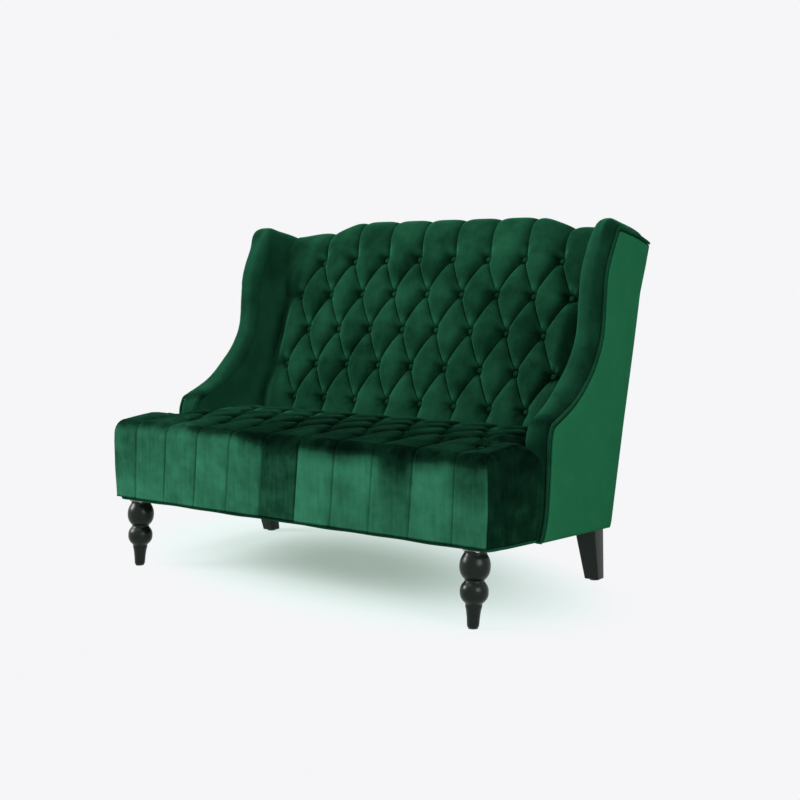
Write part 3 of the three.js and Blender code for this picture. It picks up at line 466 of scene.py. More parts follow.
def tufting(u, v, pattern):
    """Fullness of buttoned velvet, 0 at a button and 1 on top of a pillow.

    Two sets of folds cross at the buttons, where sine waves of the place across and down are 0.
    Each pillow rises from its folds as a quarter circle does, and a fold rises between its buttons.
    Past the first and last row the folds run straight on as pleats, and past the last column level."""
    last, reach = pattern[0], max(pattern[1:3])
    field = np.clip(v, 0, last)
    inner = np.clip(u, -reach, reach)
    rising = np.abs(np.sin(np.pi * (inner - 0.5 + field / 2)))
    falling = np.abs(np.sin(np.pi * (inner - 0.5 - field / 2)))
    past = np.maximum(np.maximum(-v, v - last), 0)
    aside = np.maximum(np.abs(u) - reach, 0)
    lift = 1 - (1 - smooth(past, 0, 0.7) ** 2) * (1 - 0.2 * smooth(aside, 0, 0.6) ** 2)
    fold = np.sqrt(1 - (1 - rising**2) * (1 - falling**2) * (1 - lift))
    round_of = lambda wave: np.sqrt(wave * (2 - wave))
    pillow = (round_of(rising) * round_of(falling)) ** (1 - 0.45 * smooth(past, 0, 0.6))
    x, up, far = nearest_button(u, v, pattern)
    height = (0.30 * fold**0.75 + 0.70 * pillow) * (1 - 0.72 * bell(far, 0, 11.5))
    pucker = 0.04 * np.cos(7 * np.arctan2(up, x)) * bell(far, 19, 8)
    return height + pucker, (x, up, far), falling < rising


def pillow_pile_and_painted_light(x_off, up, far, base):
    """Lie of the pile on a pillow, with painted light: a painted highlight where it points up from a button, and
    painted shade close round the button, in its pit.
    """
    tip = bell(up, 20, 15) * bell(x_off, 0, 9 + 0.35 * np.abs(up)) * (up > -4)
    # Painted highlight on the pale tip above each button, and painted shade in the button's pit
    return base + 0.30 * tip - 0.36 * bell(far, 0, 13)


def column_pitches(reach):
    """Even steps across, on whole cells of the pattern, ending exactly at the reach on both sides."""
    cell = 1 / (2 * CELLS)
    inner = np.arange(-math.floor(reach / cell), math.floor(reach / cell) + 1) * cell
    return joined([-reach], inner[np.abs(inner) < reach - cell / 3], [reach])


def button_columns(row, pattern):
    """Places across of a row's buttons, in pitches."""
    reach = pattern[1 + row % 2]
    return np.arange(-reach, reach + 1)


def add_buttons(name, centres, out, nap):
    """A row of covered buttons square to the cloth: circles shrink as a quarter ellipse rises, over a low edge."""
    turn = np.linspace(0, 2 * np.pi, 20, endpoint=False)
    rise = np.linspace(0, np.pi / 2, 7)
    wide = BUTTON_RADIUS * joined([0.93, 1.0], np.cos(rise[:-1]) * 0.985, [0.02])[:, None]
    high = BUTTON_RISE * joined([-0.45, -0.2], np.sin(rise))[:, None]
    across = np.array((1.0, 0, 0))
    points = (centres[:, None, None] + (wide * np.cos(turn))[..., None] * across
              + (wide * np.sin(turn))[..., None] * np.cross(out, across) + high[..., None] * out)
    count, rings, sides = points.shape[:3]
    one = grid_faces(rings, sides, wrapped=True)
    circle = np.arange(sides)
    starts = np.arange(count) * rings * sides
    caps = [cap + start for start in starts for cap in (circle[::-1], circle + (rings - 1) * sides)]
    new_piece(name, points, joined(*(one + start for start in starts)), TUFTED_VELVET, (), nap, caps)


# Tufted back

def back_profile(q):
    """Full skin of the back at q rows below the first: depth behind the raked plane, and length up the rake.

    Down to the last row it bows forward as the 0.78 power of the rows; above the first it goes over the crest."""
    down = np.array([4.6, 4.0, 3.5, 3.0, 2.5, 2.0, 1.5, 1.0, 0.5, 0.2])
    bowed = np.where(down > 4, 161.0, 138.5 * (0.5 + 0.5 * (down / 4) ** 0.78) + 24)
    over = np.array([(-0.05, -92.0, 727.5), (-0.515, -79.4, 776.8), (-0.789, -70.5, 806.0), (-1.035, -57.0, 829.5),
                     (-1.272, -36.0, 844.4), (-1.508, -12.0, 847.4), (-1.73, 13.0, 842.0), (-2.075, 50.1, 829.0),
                     (-2.334, 68.6, 807.4), (-2.504, 61.4, 791.0), (-2.694, 42.5, 781.2)])
    knots, t, s = joined(packed(down, -bowed, BACK_FIRST_ROW - down * BACK_PATTERN[3]), over).T
    return through(knots, t, q), through(knots, s, q)


def on_back(u, t, s):
    """Points of the back at columns, behind its plane and up it: the last column ends at the wings' inner faces.

    The buttons spread a little as they rise."""
    z = raked_z(t, s)
    spread = 6.4e-5 * (z - 645.0) * (1 - smooth(np.abs(u), 3.9, PATTERN_REACH / PITCH))
    return raked(u * PITCH * ((inner_face_at(z) - 1.4) / PATTERN_REACH + spread), t, s)


def back_surface(u, q):
    """Points of the back's velvet: the profile moved in by the tufting, drooped and recessed towards the sides."""
    t, s = back_profile(q)
    t_up, s_up = back_profile(q - 0.01)
    slope = np.hypot(t_up - t, s_up - s)
    height, offsets, falling = tufting(u, q, BACK_PATTERN)
    edge = 1 - smooth(1 - np.abs(u) * PITCH / PATTERN_REACH, 0, 0.165)
    deep = 35.0 * (1 - 0.5 * smooth(-q, 0.0, 1.1)) * (1 - 0.55 * smooth(-q, 1.1, 1.9))
    sunk = deep * (1 - 0.3 * smooth(q, 4.0, 4.5)) * (1 - 0.85 * edge) * (1 - height)
    thick = np.interp(q, [-1.2, -0.6, 0.0, 1.0, 2.0, 4.6], [0.0, 4.0, 17.0, 41.0, 52.0, 52.0])
    recess = (thick - 21.0 * smooth(q, 2, 4) + 18.0 * smooth(-q, -0.4, -1.5)) * edge
    droop = np.minimum(10.0 * (u * PITCH / 480.0) ** 2, 14.0) * smooth(4.5 - q, 0, 1.4) * smooth(q, -0.9, 0.0)
    t = t + (s_up - s) / slope * sunk + recess
    s = s - (t_up - back_profile(q)[0]) / slope * sunk - droop
    s = s - crest_drop_at(u * PITCH * 1.02) * smooth(-q, -0.15, 1.0)
    return on_back(u, t, s), offsets, falling


def make_back():
    """The tufted back: its velvet skin and a plain rear closed into rings, one ring per step across."""
    u = column_pitches(PATTERN_REACH / PITCH)[:, None]
    q = joined([BACK_ROWS_DOWN], np.arange(109, -65, -1) / CELLS)[None]
    front, offsets, falling = back_surface(u, q)
    crest = 778.5 - crest_drop_at(u * PITCH)
    behind = [on_back(u, t, s) for t, s in ((23.0, crest), (-40.0, crest), (-42.8, crest - 60), (-42.8, 500.0),
                                            (-42.8, 213.0), (-80.0, 212.8))]
    base = 0.365 + 0.06 * smooth(q, 3.4, 4.4) + 0.04 * smooth(-u, 3.4, 4.2)
    rear = ((0, 0), (0, len(behind)))
    nap = np.pad(pillow_pile_and_painted_light(*offsets, base), rear, constant_values=0.3)
    piece = loft("tufted_back_velvet", joined(front, *behind, axis=1), TUFTED_VELVET, ["tufted_back"], nap,
                 ~np.pad(falling, rear)[:-1])


def make_back_buttons():
    """Five rows of buttons where the folds of the back meet, square to its skin."""
    for row in range(BACK_PATTERN[0] + 1):
        u = button_columns(row, BACK_PATTERN)
        centres = back_surface(u, np.full(len(u), float(row)))[0]
        below, above = raked(0, *back_profile(np.array([row + 0.2, row - 0.2])))
        out = np.cross((1.0, 0, 0), unit(above - below))
        add_buttons(f"back_buttons_{row + 1}", centres + 5.0 * out, out, 0.38)


make_back()
make_back_buttons()


# Side line of the arms and wings

def side_line():
    """Side view of the arm and wing, foot to tip: up the arm, back along it, up the wing and over its top.

    Each point is a share of the depth and a share of the rise, to the arm's height and then to the top."""
    stump = [(0.2638, 0.0), (0.2858, 0.18), (0.3, 0.5), (0.3078, 0.8), (0.314, 0.96)]
    sweep = [(0.3286, 0.0261), (0.3495, 0.0408), (0.4, 0.0727), (0.4537, 0.1134), (0.5178, 0.184),
             (0.5718, 0.2695), (0.617, 0.3904), (0.6355, 0.5819), (0.6447, 0.6917), (0.6876, 0.8366),
             (0.7119, 0.898), (0.7215, 0.9195), (0.7345, 0.9268), (0.752, 0.9235), (0.789, 0.912), (0.8275, 0.9),
             (0.866, 0.8856), (0.9, 0.8695), (0.9365, 0.85)]
    depth, rise = joined(stump, sweep).T
    y = FRONT_Y + depth * DEPTH
    on_stump = np.arange(len(y)) < len(stump)
    low = np.where(on_stump, underside_at(y), ARM_HEIGHT)
    return spaced(packed(y, low + rise * (np.where(on_stump, ARM_HEIGHT, HEIGHT) - low)), 260)


SIDE_LINE = side_line()
SIDE_NORMALS = normals_2d(SIDE_LINE)


# Tufted seat

PANEL_SEAMS = np.arange(-4.5, 5)
PANEL_NAPS = (0.66, 0.70, 0.69, 0.78, 0.72, 0.42, 0.82, 0.84, 0.74, 0.82, 0.79)
FACE_ROWS = 24
EDGE_ROWS = 11
TOP_START = FACE_ROWS + EDGE_ROWS
EDGE_DEPTH = 34.0
EDGE_RISE = 37.0
SIDE_ROUND = 24.0
FACE_BASE = 198.0
FACE_SPAN = 190.0
ARM_CLEARANCE = 11.2
EAR_REACH = 122.6
BUTTON_DEPTH = 16.6
SEAT_HEART = np.array([-330.0, 295.0])


def seat_crest_at(y):
    """Height of the seat's full skin: a flat arch from front to back."""
    share = (y - FRONT_Y) / (SEAT_BACK - FRONT_Y)
    return SEAT_HEIGHT - np.where(share < 0.5, 16.0, 12.0) * (2 * share - 1) ** 2


def deck_at(y):
    """Height of the springs' arch that the seat rests on."""
    return 304.6 + 14.0 * np.sin(np.pi * np.clip((y + 393) / 511, 0, 1))


def lower_edge_at(y):
    """Height of the seat's lower edge, just over its welt."""
    return underside_at(y) + SEAT_EDGE_LIFT


def from_seam(u):
    """Distance in millimetres from the nearest seam between the front's panels."""
    return np.abs(0.5 - np.abs(u) % 1) * PITCH


def seat_rings():
    """Rings of the seat across its width, with the place of each point in the tufting.

    A ring goes up the front face, round the front edge, back over the top and home under the seat.
    Beside the arms the ring is cut short: what would lie behind the arm's front runs down that front instead."""
    flat = column_pitches((SEAT_HALF - SIDE_ROUND) / PITCH)[1:-1] * PITCH
    sides = SEAT_HALF - SIDE_ROUND * (1 - np.sin(np.linspace(0, np.pi / 2, 12)))
    cuts = np.array([DECK_REACH, DECK_REACH + 0.5, ARM_REACH, ARM_REACH + 0.5])
    x = np.unique(np.round(joined(-sides, flat, sides, cuts, -cuts), 4))[:, None]
    wide = np.abs(x)
    u = x / PITCH

    edge_y = FRONT_Y + EDGE_DEPTH
    face_low, face_top = lower_edge_at(FRONT_Y), seat_crest_at(edge_y) - EDGE_RISE
    face = packed(FRONT_Y, face_low + (face_top - face_low) * np.linspace(0, 1, FACE_ROWS) ** 1.15)
    turn = np.linspace(0, np.pi / 2, EDGE_ROWS + 2)[1:-1]
    edge = packed(edge_y - EDGE_DEPTH * np.cos(turn), face_top + EDGE_RISE * np.sin(turn))
    row_pitch = SEAT_PATTERN[3]
    rows = np.arange(math.ceil((edge_y - SEAT_FIRST_ROW) / row_pitch * CELLS), math.floor(3.476 * CELLS)) / CELLS
    top_y = joined([edge_y], SEAT_FIRST_ROW + rows * row_pitch, [SEAT_BACK - 5, SEAT_BACK - 1])
    rear = [(SEAT_BACK, 412.0), (SEAT_BACK, 402.0), (SEAT_BACK, 392.0), (SEAT_BACK, 380.5), (SEAT_BACK + 25, 379.4),
            (114.4, 379.0), (114.4, 360.0), (114.4, 318.6)]
    under_y = np.array([60.0, 0.0, -80.0, -160.0, -240.0, -320.0, -380.0])
    apron = [(-402.2, 305.0), (-402.2, 260.0), (-402.2, 198.4)]
    profile = joined(face, edge, packed(top_y, seat_crest_at(top_y)), rear, packed(under_y, deck_at(under_y)), apron)
    profile_y = profile[:, 0]
    skin = TOP_START + len(top_y)
    foot = skin + len(rear)
    out = normals_2d(profile)
    out[skin:] = 0

    v = (profile_y - SEAT_FIRST_ROW) / row_pitch
    v[:TOP_START] = np.linspace(-1.9, v[TOP_START], TOP_START)
    along = np.arange(len(profile))
    on_face = 1 - smooth(along, FACE_ROWS - 2, TOP_START + 4)
    height, offsets, falling = tufting(u, v[None], SEAT_PATTERN)
    ear = smooth(np.abs(u), 4.5, 4.9)
    height = height * (1 - ear) + 0.93 * ear
    crisp = 1 - np.exp(-from_seam(u) / 2.4) + 0.25 * np.abs(np.cos(np.pi * u))
    height = height * (1 - on_face) + crisp * on_face
    deep = np.interp(along, [0, 5, FACE_ROWS - 3, FACE_ROWS + 6, TOP_START + 8, TOP_START + 20],
                     [2.0, 3.0, 3.2, 5.0, 11.0, 19.0])
    depth = deep * (1 - height) * (1 - smooth(wide, 596, 622))
    y = profile_y - out[:, 0] * depth
    z = profile[:, 1] - out[:, 1] * depth

    arm = SIDE_LINE + SIDE_NORMALS * ARM_CLEARANCE
    corner_y = arm[np.argmax(arm[:, 1] > 366.7), 0]
    ear_y, ear_z = np.array([(1.0, 1.0462), (0.718, 0.9779), (0.344, 0.9393), (0.155, 0.9051), (0.024, 0.8528)]).T
    ear_line = spaced(packed(corner_y - ear_y * EAR_REACH, ear_z * SEAT_HEIGHT), 60)
    ear_top = np.interp(profile_y, ear_line[:, 0], ear_line[:, 1], left=999.0)
    lost = np.maximum(seat_crest_at(profile_y) - 2 - ear_top, 0)
    behind = lost.max() * np.exp(-np.maximum(profile_y - corner_y, 0) / 38)
    on_top = (along >= FACE_ROWS) & (along < skin + 4)
    z = z - np.where(profile_y > corner_y, behind, lost) * smooth(wide, 512, 566) * on_top
    snug = np.clip((wide - 543) / 22, 0, 1) * smooth(profile_y, -215, -190) * on_top * (wide < DECK_REACH + 0.3)
    z = z - 12 * (1 - np.sqrt(1 - 0.98 * snug**2))

    first = int(np.argmax(profile_y > corner_y - 120))
    start_y, start_z = profile[first]
    over = ear_line[(ear_line[:, 0] > start_y + 4) & (ear_line[:, 1] < start_z - 1.2)]
    arm = arm[arm[:, 1] < 366.0][::-1]
    count = foot - first
    for floor, end, cut in ((deck_at, [], (wide > DECK_REACH + 0.2) & (wide < ARM_REACH + 0.2)),
                            (lower_edge_at, [-405.0, -412.0, -420.0], wide > ARM_REACH + 0.2)):
        cut = cut[:, 0]
        stands = arm[arm[:, 1] > floor(arm[:, 0]) + 1]
        last_y = stands[-1, 0]
        down = stands[stands[:, 1] < ear_line[-1, 1] - 3]
        path = at_shares(joined([(start_y, start_z)], over, down, [(last_y, floor(last_y))]), np.linspace(0, 1, count))
        y[cut, first:foot] = path[:, 0]
        z[cut, first:foot] = path[:, 1] + (z[cut, first:first + 1] - start_z) * smooth(-np.arange(count), -20, 0)
        home = joined(np.linspace(last_y - 10, -400, len(under_y)), end)
        y[cut, foot:foot + len(home)] = home
        z[cut, foot:foot + len(home)] = floor(home)
    return x, y, z, skin, foot, offsets, falling


def drawn_in(points):
    """How far the cloth is pulled inward at the seat's lower front corners: up to 4 mm, eased away up and back."""
    x, y, z = np.moveaxis(points, -1, 0)
    return np.sign(x) * 4.0 * smooth(np.abs(x), 545, 626) * (1 - smooth(z, 200, 285)) * (1 - smooth(y, -410, -330))


def in_order(ring):
    """A ring round the seat's heart with no step back: the angle only ever grows, and the radius follows it."""
    across, up = (ring - SEAT_HEART).T
    angle = np.unwrap(np.arctan2(up, across))
    way = np.sign(angle[-1] - angle[0])
    angle = way * angle
    place = np.argsort(angle)
    onward = np.maximum.accumulate(angle) + 1e-5 * np.arange(len(angle))
    radius = np.interp(onward, angle[place], np.hypot(across, up)[place])
    return SEAT_HEART + radius[:, None] * packed(np.cos(way * onward), np.sin(way * onward))


def make_seat():
    """The T-shaped tufted seat, with its ears rounded over and its side faces closed by shrinking rings."""
    x, y, z, skin, foot, offsets, falling = seat_rings()
    wide = np.abs(x)
    along = np.arange(y.shape[1])
    places = [0, 2, FACE_ROWS - 4, TOP_START, foot - 12, foot - 5, foot - 1, foot, foot + 1, len(along)]
    radius = np.interp(along, places, [3.0, 3.5, 3.5, 20.0, 12.0, 8.0, 2.0, 0.8, 1.5, 3.0])
    turned = np.clip((wide - (SEAT_HALF - radius)) / radius, 0, 1)
    inset = radius * (1 - np.sqrt(1 - turned**2))
    for row in np.flatnonzero(wide[:, 0] > 608):
        ring = packed(y[row], z[row])
        step = unit(np.roll(ring, -1, axis=0) - np.roll(ring, 1, axis=0))
        y[row], z[row] = in_order(ring + inset[row][:, None] * packed(step[:, 1], -step[:, 0])).T
    face_share = np.clip((z - FACE_BASE) / FACE_SPAN, 0, 1)
    drift = -20.0 * (1 - face_share) * (y < -395) * (1 - (wide / SEAT_HALF) ** 4)
    rings = packed(x + drift, y, z)

    u = x / PITCH
    dark = 0.43 * bell(u, 4.85, 0.5) * bell(face_share, 0.75, 0.24)
    dark = dark + 0.39 * smooth(u, 2.45, 2.9) * (1 - smooth(u, 3.3, 3.7)) * smooth(face_share, 0.2, 0.85)
    tone = np.take(PANEL_NAPS, np.searchsorted(PANEL_SEAMS, u))
    # Painted shade: darker along each seam's crease between panels, and on the lowest row of the face just over the
    # base welt
    front = tone - dark - 0.14 * np.exp(-from_seam(u) / 2.2) - 0.5 * (z < FACE_BASE + 1)
    fade = FACE_ROWS + 4 * smooth(-u, 0, 2)
    onto_top = smooth(along, fade - 5, fade + 4)
    # On the seat the painted highlights at the tips go by the side outline's height over the heart, not by the way up
    # from each button
    x_off, _, far = offsets
    top = pillow_pile_and_painted_light(x_off, z[-1] - SEAT_HEART[1], far, 0.05 + 0.22 * smooth(-u, 0.5, 4))
    nap = np.where(along > skin, 0.05, front * (1 - onto_top) + top * onto_top)
    at_side = smooth(turned, 0.35, 0.9)
    nap = nap * (1 - at_side) + 0.17 * at_side

    shares = np.array([0.97, 0.9, 0.78, 0.6, 0.4, 0.2, 0.04])[:, None]
    caps = []
    for edge in (rings[0], rings[-1]):
        shrunk = SEAT_HEART + (in_order(edge[:, 1:]) - SEAT_HEART) * shares[..., None]
        round_off = bell(shrunk[..., 0], -325, 90) * bell(shrunk[..., 1], 300, 70)
        cap_x = np.sign(edge[0, 0]) * (SEAT_HALF + 2.0 * (1 - shares**6) * round_off)
        caps.append(packed(cap_x, shrunk[..., 0], shrunk[..., 1]))
    cap_naps = [0.205 + 0.10 * np.clip((300 - cap[..., 2]) / 100, 0, 1) for cap in caps]
    rings = joined(caps[0][::-1], rings, caps[1])
    rings[..., 0] -= drawn_in(rings)
    piece = loft("tufted_seat_velvet", rings, SEAT_VELVET, ["tufted_seat"],
                 joined(cap_naps[0][::-1], nap, cap_naps[1]),
                 np.pad(falling, ((len(shares), len(shares)), (0, 0)))[:-1])


def make_seat_buttons():
    """Four rows of buttons sunk where the folds of the seat meet."""
    for row in range(SEAT_PATTERN[0] + 1):
        y = SEAT_FIRST_ROW + row * SEAT_PATTERN[3]
        centres = packed(button_columns(row, SEAT_PATTERN) * PITCH, y, seat_crest_at(y) - BUTTON_DEPTH)
        add_buttons(f"seat_buttons_{row + 1}", centres, np.array((0, 0, 1.0)), 0.12)


make_seat()
make_seat_buttons()


# Arms and wings

BOXING_DEPTH = 21.6
PANEL_HEIGHT = 850.0
PANEL_DEPTH = 300.0


def mirrored(points, side):
    """Points kept on the right side, or turned over onto the left."""
    return points * np.array((side, 1.0, 1.0))


def rear_line_y(z):
    """Depth of the padded inner face's rear edge, just in front of the back's frame."""
    return BACK_FOOT_Y + (z - REAR_UNDERSIDE) * math.tan(RAKE) - 43.6 / math.cos(RAKE)


def make_side_padding(side, word):
    """Velvet of one arm and wing: each ring starts at the welt, swells over the padded roll and goes back inside.

    The roll is half a superellipse, its crown 10.5 mm in front of the welt on the arm's front, 30 mm along the wing
    and 23 mm over its top; it overhangs the inner face a little and eases into it further back."""
    line = spaced(SIDE_LINE, 220)
    line_y, line_z = np.hsplit(line, 2)
    out_y, out_z = np.hsplit(normals_2d(line), 2)
    length = arc(line)[:, None]
    fold, corner, tip = length[[np.argmax(line_z > 447), np.argmax(line_z), -1], 0]
    crown = 10.5 + 19.5 * smooth(line_z, 440.0, 547.0) - 6.5 * smooth(length, corner - 60, corner + 40)
    crown = crown - 14.0 * smooth(length, tip - 40, tip)
    theta = np.linspace(0, np.pi / 2, 16)
    across = joined(0.48 + 0.52 * np.cos(theta) ** 0.8, 0.48 * (1 - np.sin(theta[1:]) ** 0.8))
    rise = joined(np.sin(theta) ** 0.9, np.cos(theta[1:]) ** 0.8)
    foot = np.where(np.arange(len(rise)) < len(theta), -2.5, -5.0)
    gather = 5.0 * bell(length, fold, 6.0) + bell(length, fold, 16.0) * np.cos(across * 26 + 0.5)
    at_corner = bell(length, corner - 20, 34)
    outside = smooth(across, 0.4, 0.8)
    d = foot + (crown - foot - gather) * rise ** (1 + 0.5 * outside * (1 - at_corner))
    y = line_y + out_y * d + at_corner * rise * (4.0 - 20.0 * outside)
    z = np.maximum(line_z + out_z * d, underside_at(y) + 0.2)
    low = line_z < 299.0
    swell = 7.0 * smooth(line_z, 436, 520)

    def inner_x(y, z):
        """Inner face of the side, swollen in front of the back, or of its board beside the seat."""
        clear = 1 - smooth(behind_back(y, z), -200, -150)
        return np.where(low, PAD_OUTER + 0.4, inner_face_at(z) - swell * clear)

    x = inner_x(y, z)
    x = x + (WELT_INNER - x) * across

    inner_y, inner_z = y[:, -1:], z[:, -1:]
    goal_z = np.clip(inner_z, 300.5, 892.0)
    goal_y = rear_line_y(goal_z)
    stays = low | (inner_y > goal_y - 3)
    short = np.where(low, 0.4, 15.5)
    goal_y = np.where(stays, inner_y - short * out_y, goal_y)
    goal_z = np.where(stays, inner_z - short * out_z, goal_z)
    shares = np.linspace(0, 1, 40)[1:]
    face_y = inner_y + (goal_y - inner_y) * shares
    face_z = inner_z + (goal_z - inner_z) * shares

    deep = line_y - out_y * BOXING_DEPTH, line_z - out_z * BOXING_DEPTH
    rim = line_y - out_y * 5.0, line_z - out_z * 5.0
    pad_x = np.where(low, PAD_OUTER + 0.5, PAD_OUTER - 0.1)
    back = [packed(pad_x, goal_y, goal_z), packed(pad_x + 0.05, *deep), packed(BOARD_OUTER - 0.2, *deep),
            packed(BOARD_OUTER - 0.1, *rim), packed(WELT_INNER - 0.1, *rim)]
    rings = joined(packed(x, y, z), packed(inner_x(face_y, face_z), face_y, face_z), *back, axis=1)

    band = 0.36 + 0.04 * smooth(line_z, 450, 520) - 0.03 * smooth(line_z, 436, 448) + 0.04 * smooth(line_z, 800, 900)
    # Painted light and shade across the roll: lighter towards its inner edge, darker towards the welt, and painted
    # shade just past the fold above the stump
    band = band + 0.16 * (0.62 - across) - 0.16 * bell(length, fold + 16, 20)
    # Painted shade in the corner against the back: darker towards the rear edge; also darker round 850 mm up
    inside = 0.545 - 0.16 * bell(face_z, 850, 60) - 0.1 * smooth(shares, 0.75, 1.0)
    behind = np.repeat(0.15 + 0.2 * smooth(length, tip - 14, tip), len(back), axis=1)
    names = [f"side_boxing_band_{word}", f"side_inner_pad_{word}"]
    piece = loft(f"arm_and_wing_velvet_{word}", mirrored(rings, side), WING_VELVET, names,
                 joined(band, inside, behind, axis=1), sharp=58)


def make_outer_panel(side, word):
    """Outer side panel: a skin stretched between the side line, the rear edge and the foot, rolled in at its rim."""
    length = arc(SIDE_LINE)[:, None]
    inset = SIDE_LINE - SIDE_NORMALS * (7.0 - 2.6 * smooth(length, length[-1] - 45, length[-1]))
    high = int(np.argmax(SIDE_LINE[:, 0] > 176))
    up = joined(np.linspace(0, 0.985, 86), [0.99, 0.993, 0.997, 1.0])
    aside = joined([0, 0.006, 0.012, 0.02, 0.035], np.linspace(0.06, 1, 35))
    front = at_shares(inset[:high + 1], up)
    top = at_shares(inset[high:], aside)
    foot = (BACK_FOOT_Y - 6, underside_at(BACK_FOOT_Y - 6))
    rear = at_shares([foot, (BACK_FOOT_Y + 1.5, 162.0), (321.95, 765.0), (351.9, 832.0), tuple(top[-1])], up)
    bottom = at_shares([tuple(front[0]), foot], aside)
    y, z = np.moveaxis(coons(front, rear, bottom, top, up, aside), -1, 0)
    s, t = up[:, None] * PANEL_HEIGHT, aside * PANEL_DEPTH
    seam = np.minimum(PANEL_HEIGHT - s, t)
    rim = np.minimum(np.minimum(s, seam), PANEL_DEPTH - t)
    # Painted shade in the groove beside the welt: a dark line along the front and top edges
    nap = 0.8 + 0.06 * np.exp(-rim / 10.0) - 0.75 * bell(seam, 0, 3.2)
    piece = board(f"outer_side_velvet_{word}", mirrored(packed(HALF_WIDTH - 5.0 * np.exp(-rim / 3.0), y, z), side),
                  mirrored(packed(BOARD_OUTER + 0.3, y, z), side), PANEL_VELVET, [f"side_outer_panel_{word}"], nap)


def make_side_welt(side, word):
    """Welt cord round the outer panel, laid on the side line and pressed a little uneven by the sewing."""
    line = spaced(SIDE_LINE, 420)[:-1]
    length = arc(line)
    radius = WELT_RADIUS * (1 + 0.05 * np.sin(length / 5.0) * np.sin(length / 37.0))
    points = packed(HALF_WIDTH - WELT_RADIUS, line[:, 0], line[:, 1])
    tube(f"side_welt_{word}", mirrored(points, side), radius, (1.0, 0, 0), [f"side_panel_welt_{word}"], 0.42)


for side, word in SIDES:
    make_side_padding(side, word)
    make_outer_panel(side, word)
    make_side_welt(side, word)


# Back panel, base welt

def make_back_panel():
    """Outer back: velvet drawn flat over its board up to the arched top, rolled in at the rim."""
    step = np.array([574.4, 575.2, 576.0])
    x = np.sort(joined(np.linspace(-BOARD_OUTER + 0.2, BOARD_OUTER - 0.2, 120), step, -step))
    s = np.linspace(0, 1, 90)[:, None]
    high = 777.4 - crest_drop_at(x)
    high = high + (752.4 - high) * smooth(np.abs(x), step[0], step[2])
    rim = np.minimum(np.minimum(s, 1 - s) * 770, BOARD_OUTER - np.abs(x))
    slack = 1.2 * np.sin(np.pi * s) * np.sin(np.pi * (x + BOARD_OUTER) / (2 * BOARD_OUTER))
    piece = board("outer_back_velvet", raked(x, -4.0 * np.exp(-rim / 4.0) - slack, s * high),
                  raked(x, -8.0, s * high), PANEL_VELVET, ["back_outer_panel"], 0.5)


def make_base_welt():
    """Welt along the seat's lower edge, front and sides, waving a little where the cloth is stapled."""
    x_side = SEAT_HALF - WELT_RADIUS
    front = FRONT_Y + 13.2
    side = packed(x_side, np.linspace(-219.0, front + 16, 8))
    corner = [(x_side - 3.5, front + 4.5), (x_side - 11, front + 0.4)]
    half = joined(side, corner, packed(np.linspace(x_side - 40, 0, 9), front))
    x, y = spaced(joined(half, half[-2::-1] * (-1, 1)), 560).T
    wave = 1.1 * np.sin(x / 34.0 + 0.6) * np.sin(x / 90.0) * (y < front + 3)
    points = packed(x, y, underside_at(y) + WELT_RADIUS - 0.05 + wave)
    points[:, 0] -= drawn_in(points)
    tube("base_welt", points, WELT_RADIUS, (0, 0, 1.0), ["seat_base_welt"], 0.5)


make_back_panel()
make_base_welt()


# Legs

def turned_profile():
    """Radius against height of the front leg: foot, shaft, lower bead, neck, ball and collar, each a smooth curve."""
    top = FRONT_UNDERSIDE - PLATE_GAP
    shape = [(GLIDE_TOP, 12.4), (4.4, 13.8), (7.5, 14.3), (24.0, 15.6), (44.0, 18.2), (53.5, 20.2), (57.0, 20.0),
             (60.0, 21.6), (64.5, 26.2), (71.0, 30.8), (79.0, 33.5), (87.2, 34.1), (95.5, 33.1), (103.0, 29.8),
             (108.6, 25.6), (112.2, 23.4), (115.6, 24.2), (119.5, 27.8), (126.5, 32.6), (136.0, 35.9),
             (146.8, 36.9), (157.5, 35.9), (167.0, 32.7), (174.5, 28.6), (179.0, 26.9), (top, 26.9)]
    heights, radii = np.array(shape).T
    z = np.unique(joined(np.linspace(GLIDE_TOP, top, 130), heights[:4]))
    return through(heights, radii, z), z


def make_front_leg(side, word):
    """The profile spun about a leaning axis that meets the sloping underside squarely, closed to its poles."""
    radii, z = turned_profile()
    radii = joined([0.4, 7.0], radii, [14.0, 0.4])[:, None]
    z = joined(z[[0, 0]], z, z[[-1, -1]])[:, None]
    turn = np.linspace(0, 2 * np.pi, 72, endpoint=False)
    lean = (FRONT_UNDERSIDE - REAR_UNDERSIDE) / BODY_DEPTH
    x = HALF_WIDTH - 70.2 + radii * np.cos(turn)
    y = FRONT_Y + 41.0 - lean * (FRONT_UNDERSIDE - PLATE_GAP - z) + radii * np.sin(turn)
    tilt = z - lean * radii * np.sin(turn)
    low = np.maximum(z, GLIDE_TOP)
    rings = packed(x, y, np.where(z > 175, tilt, low + (tilt - low) * smooth(z, 30, 80)))
    loft(f"front_leg_turned_{word}", mirrored(rings, side), LEG_LACQUER, [f"front_leg_{word}"], sharp=50)


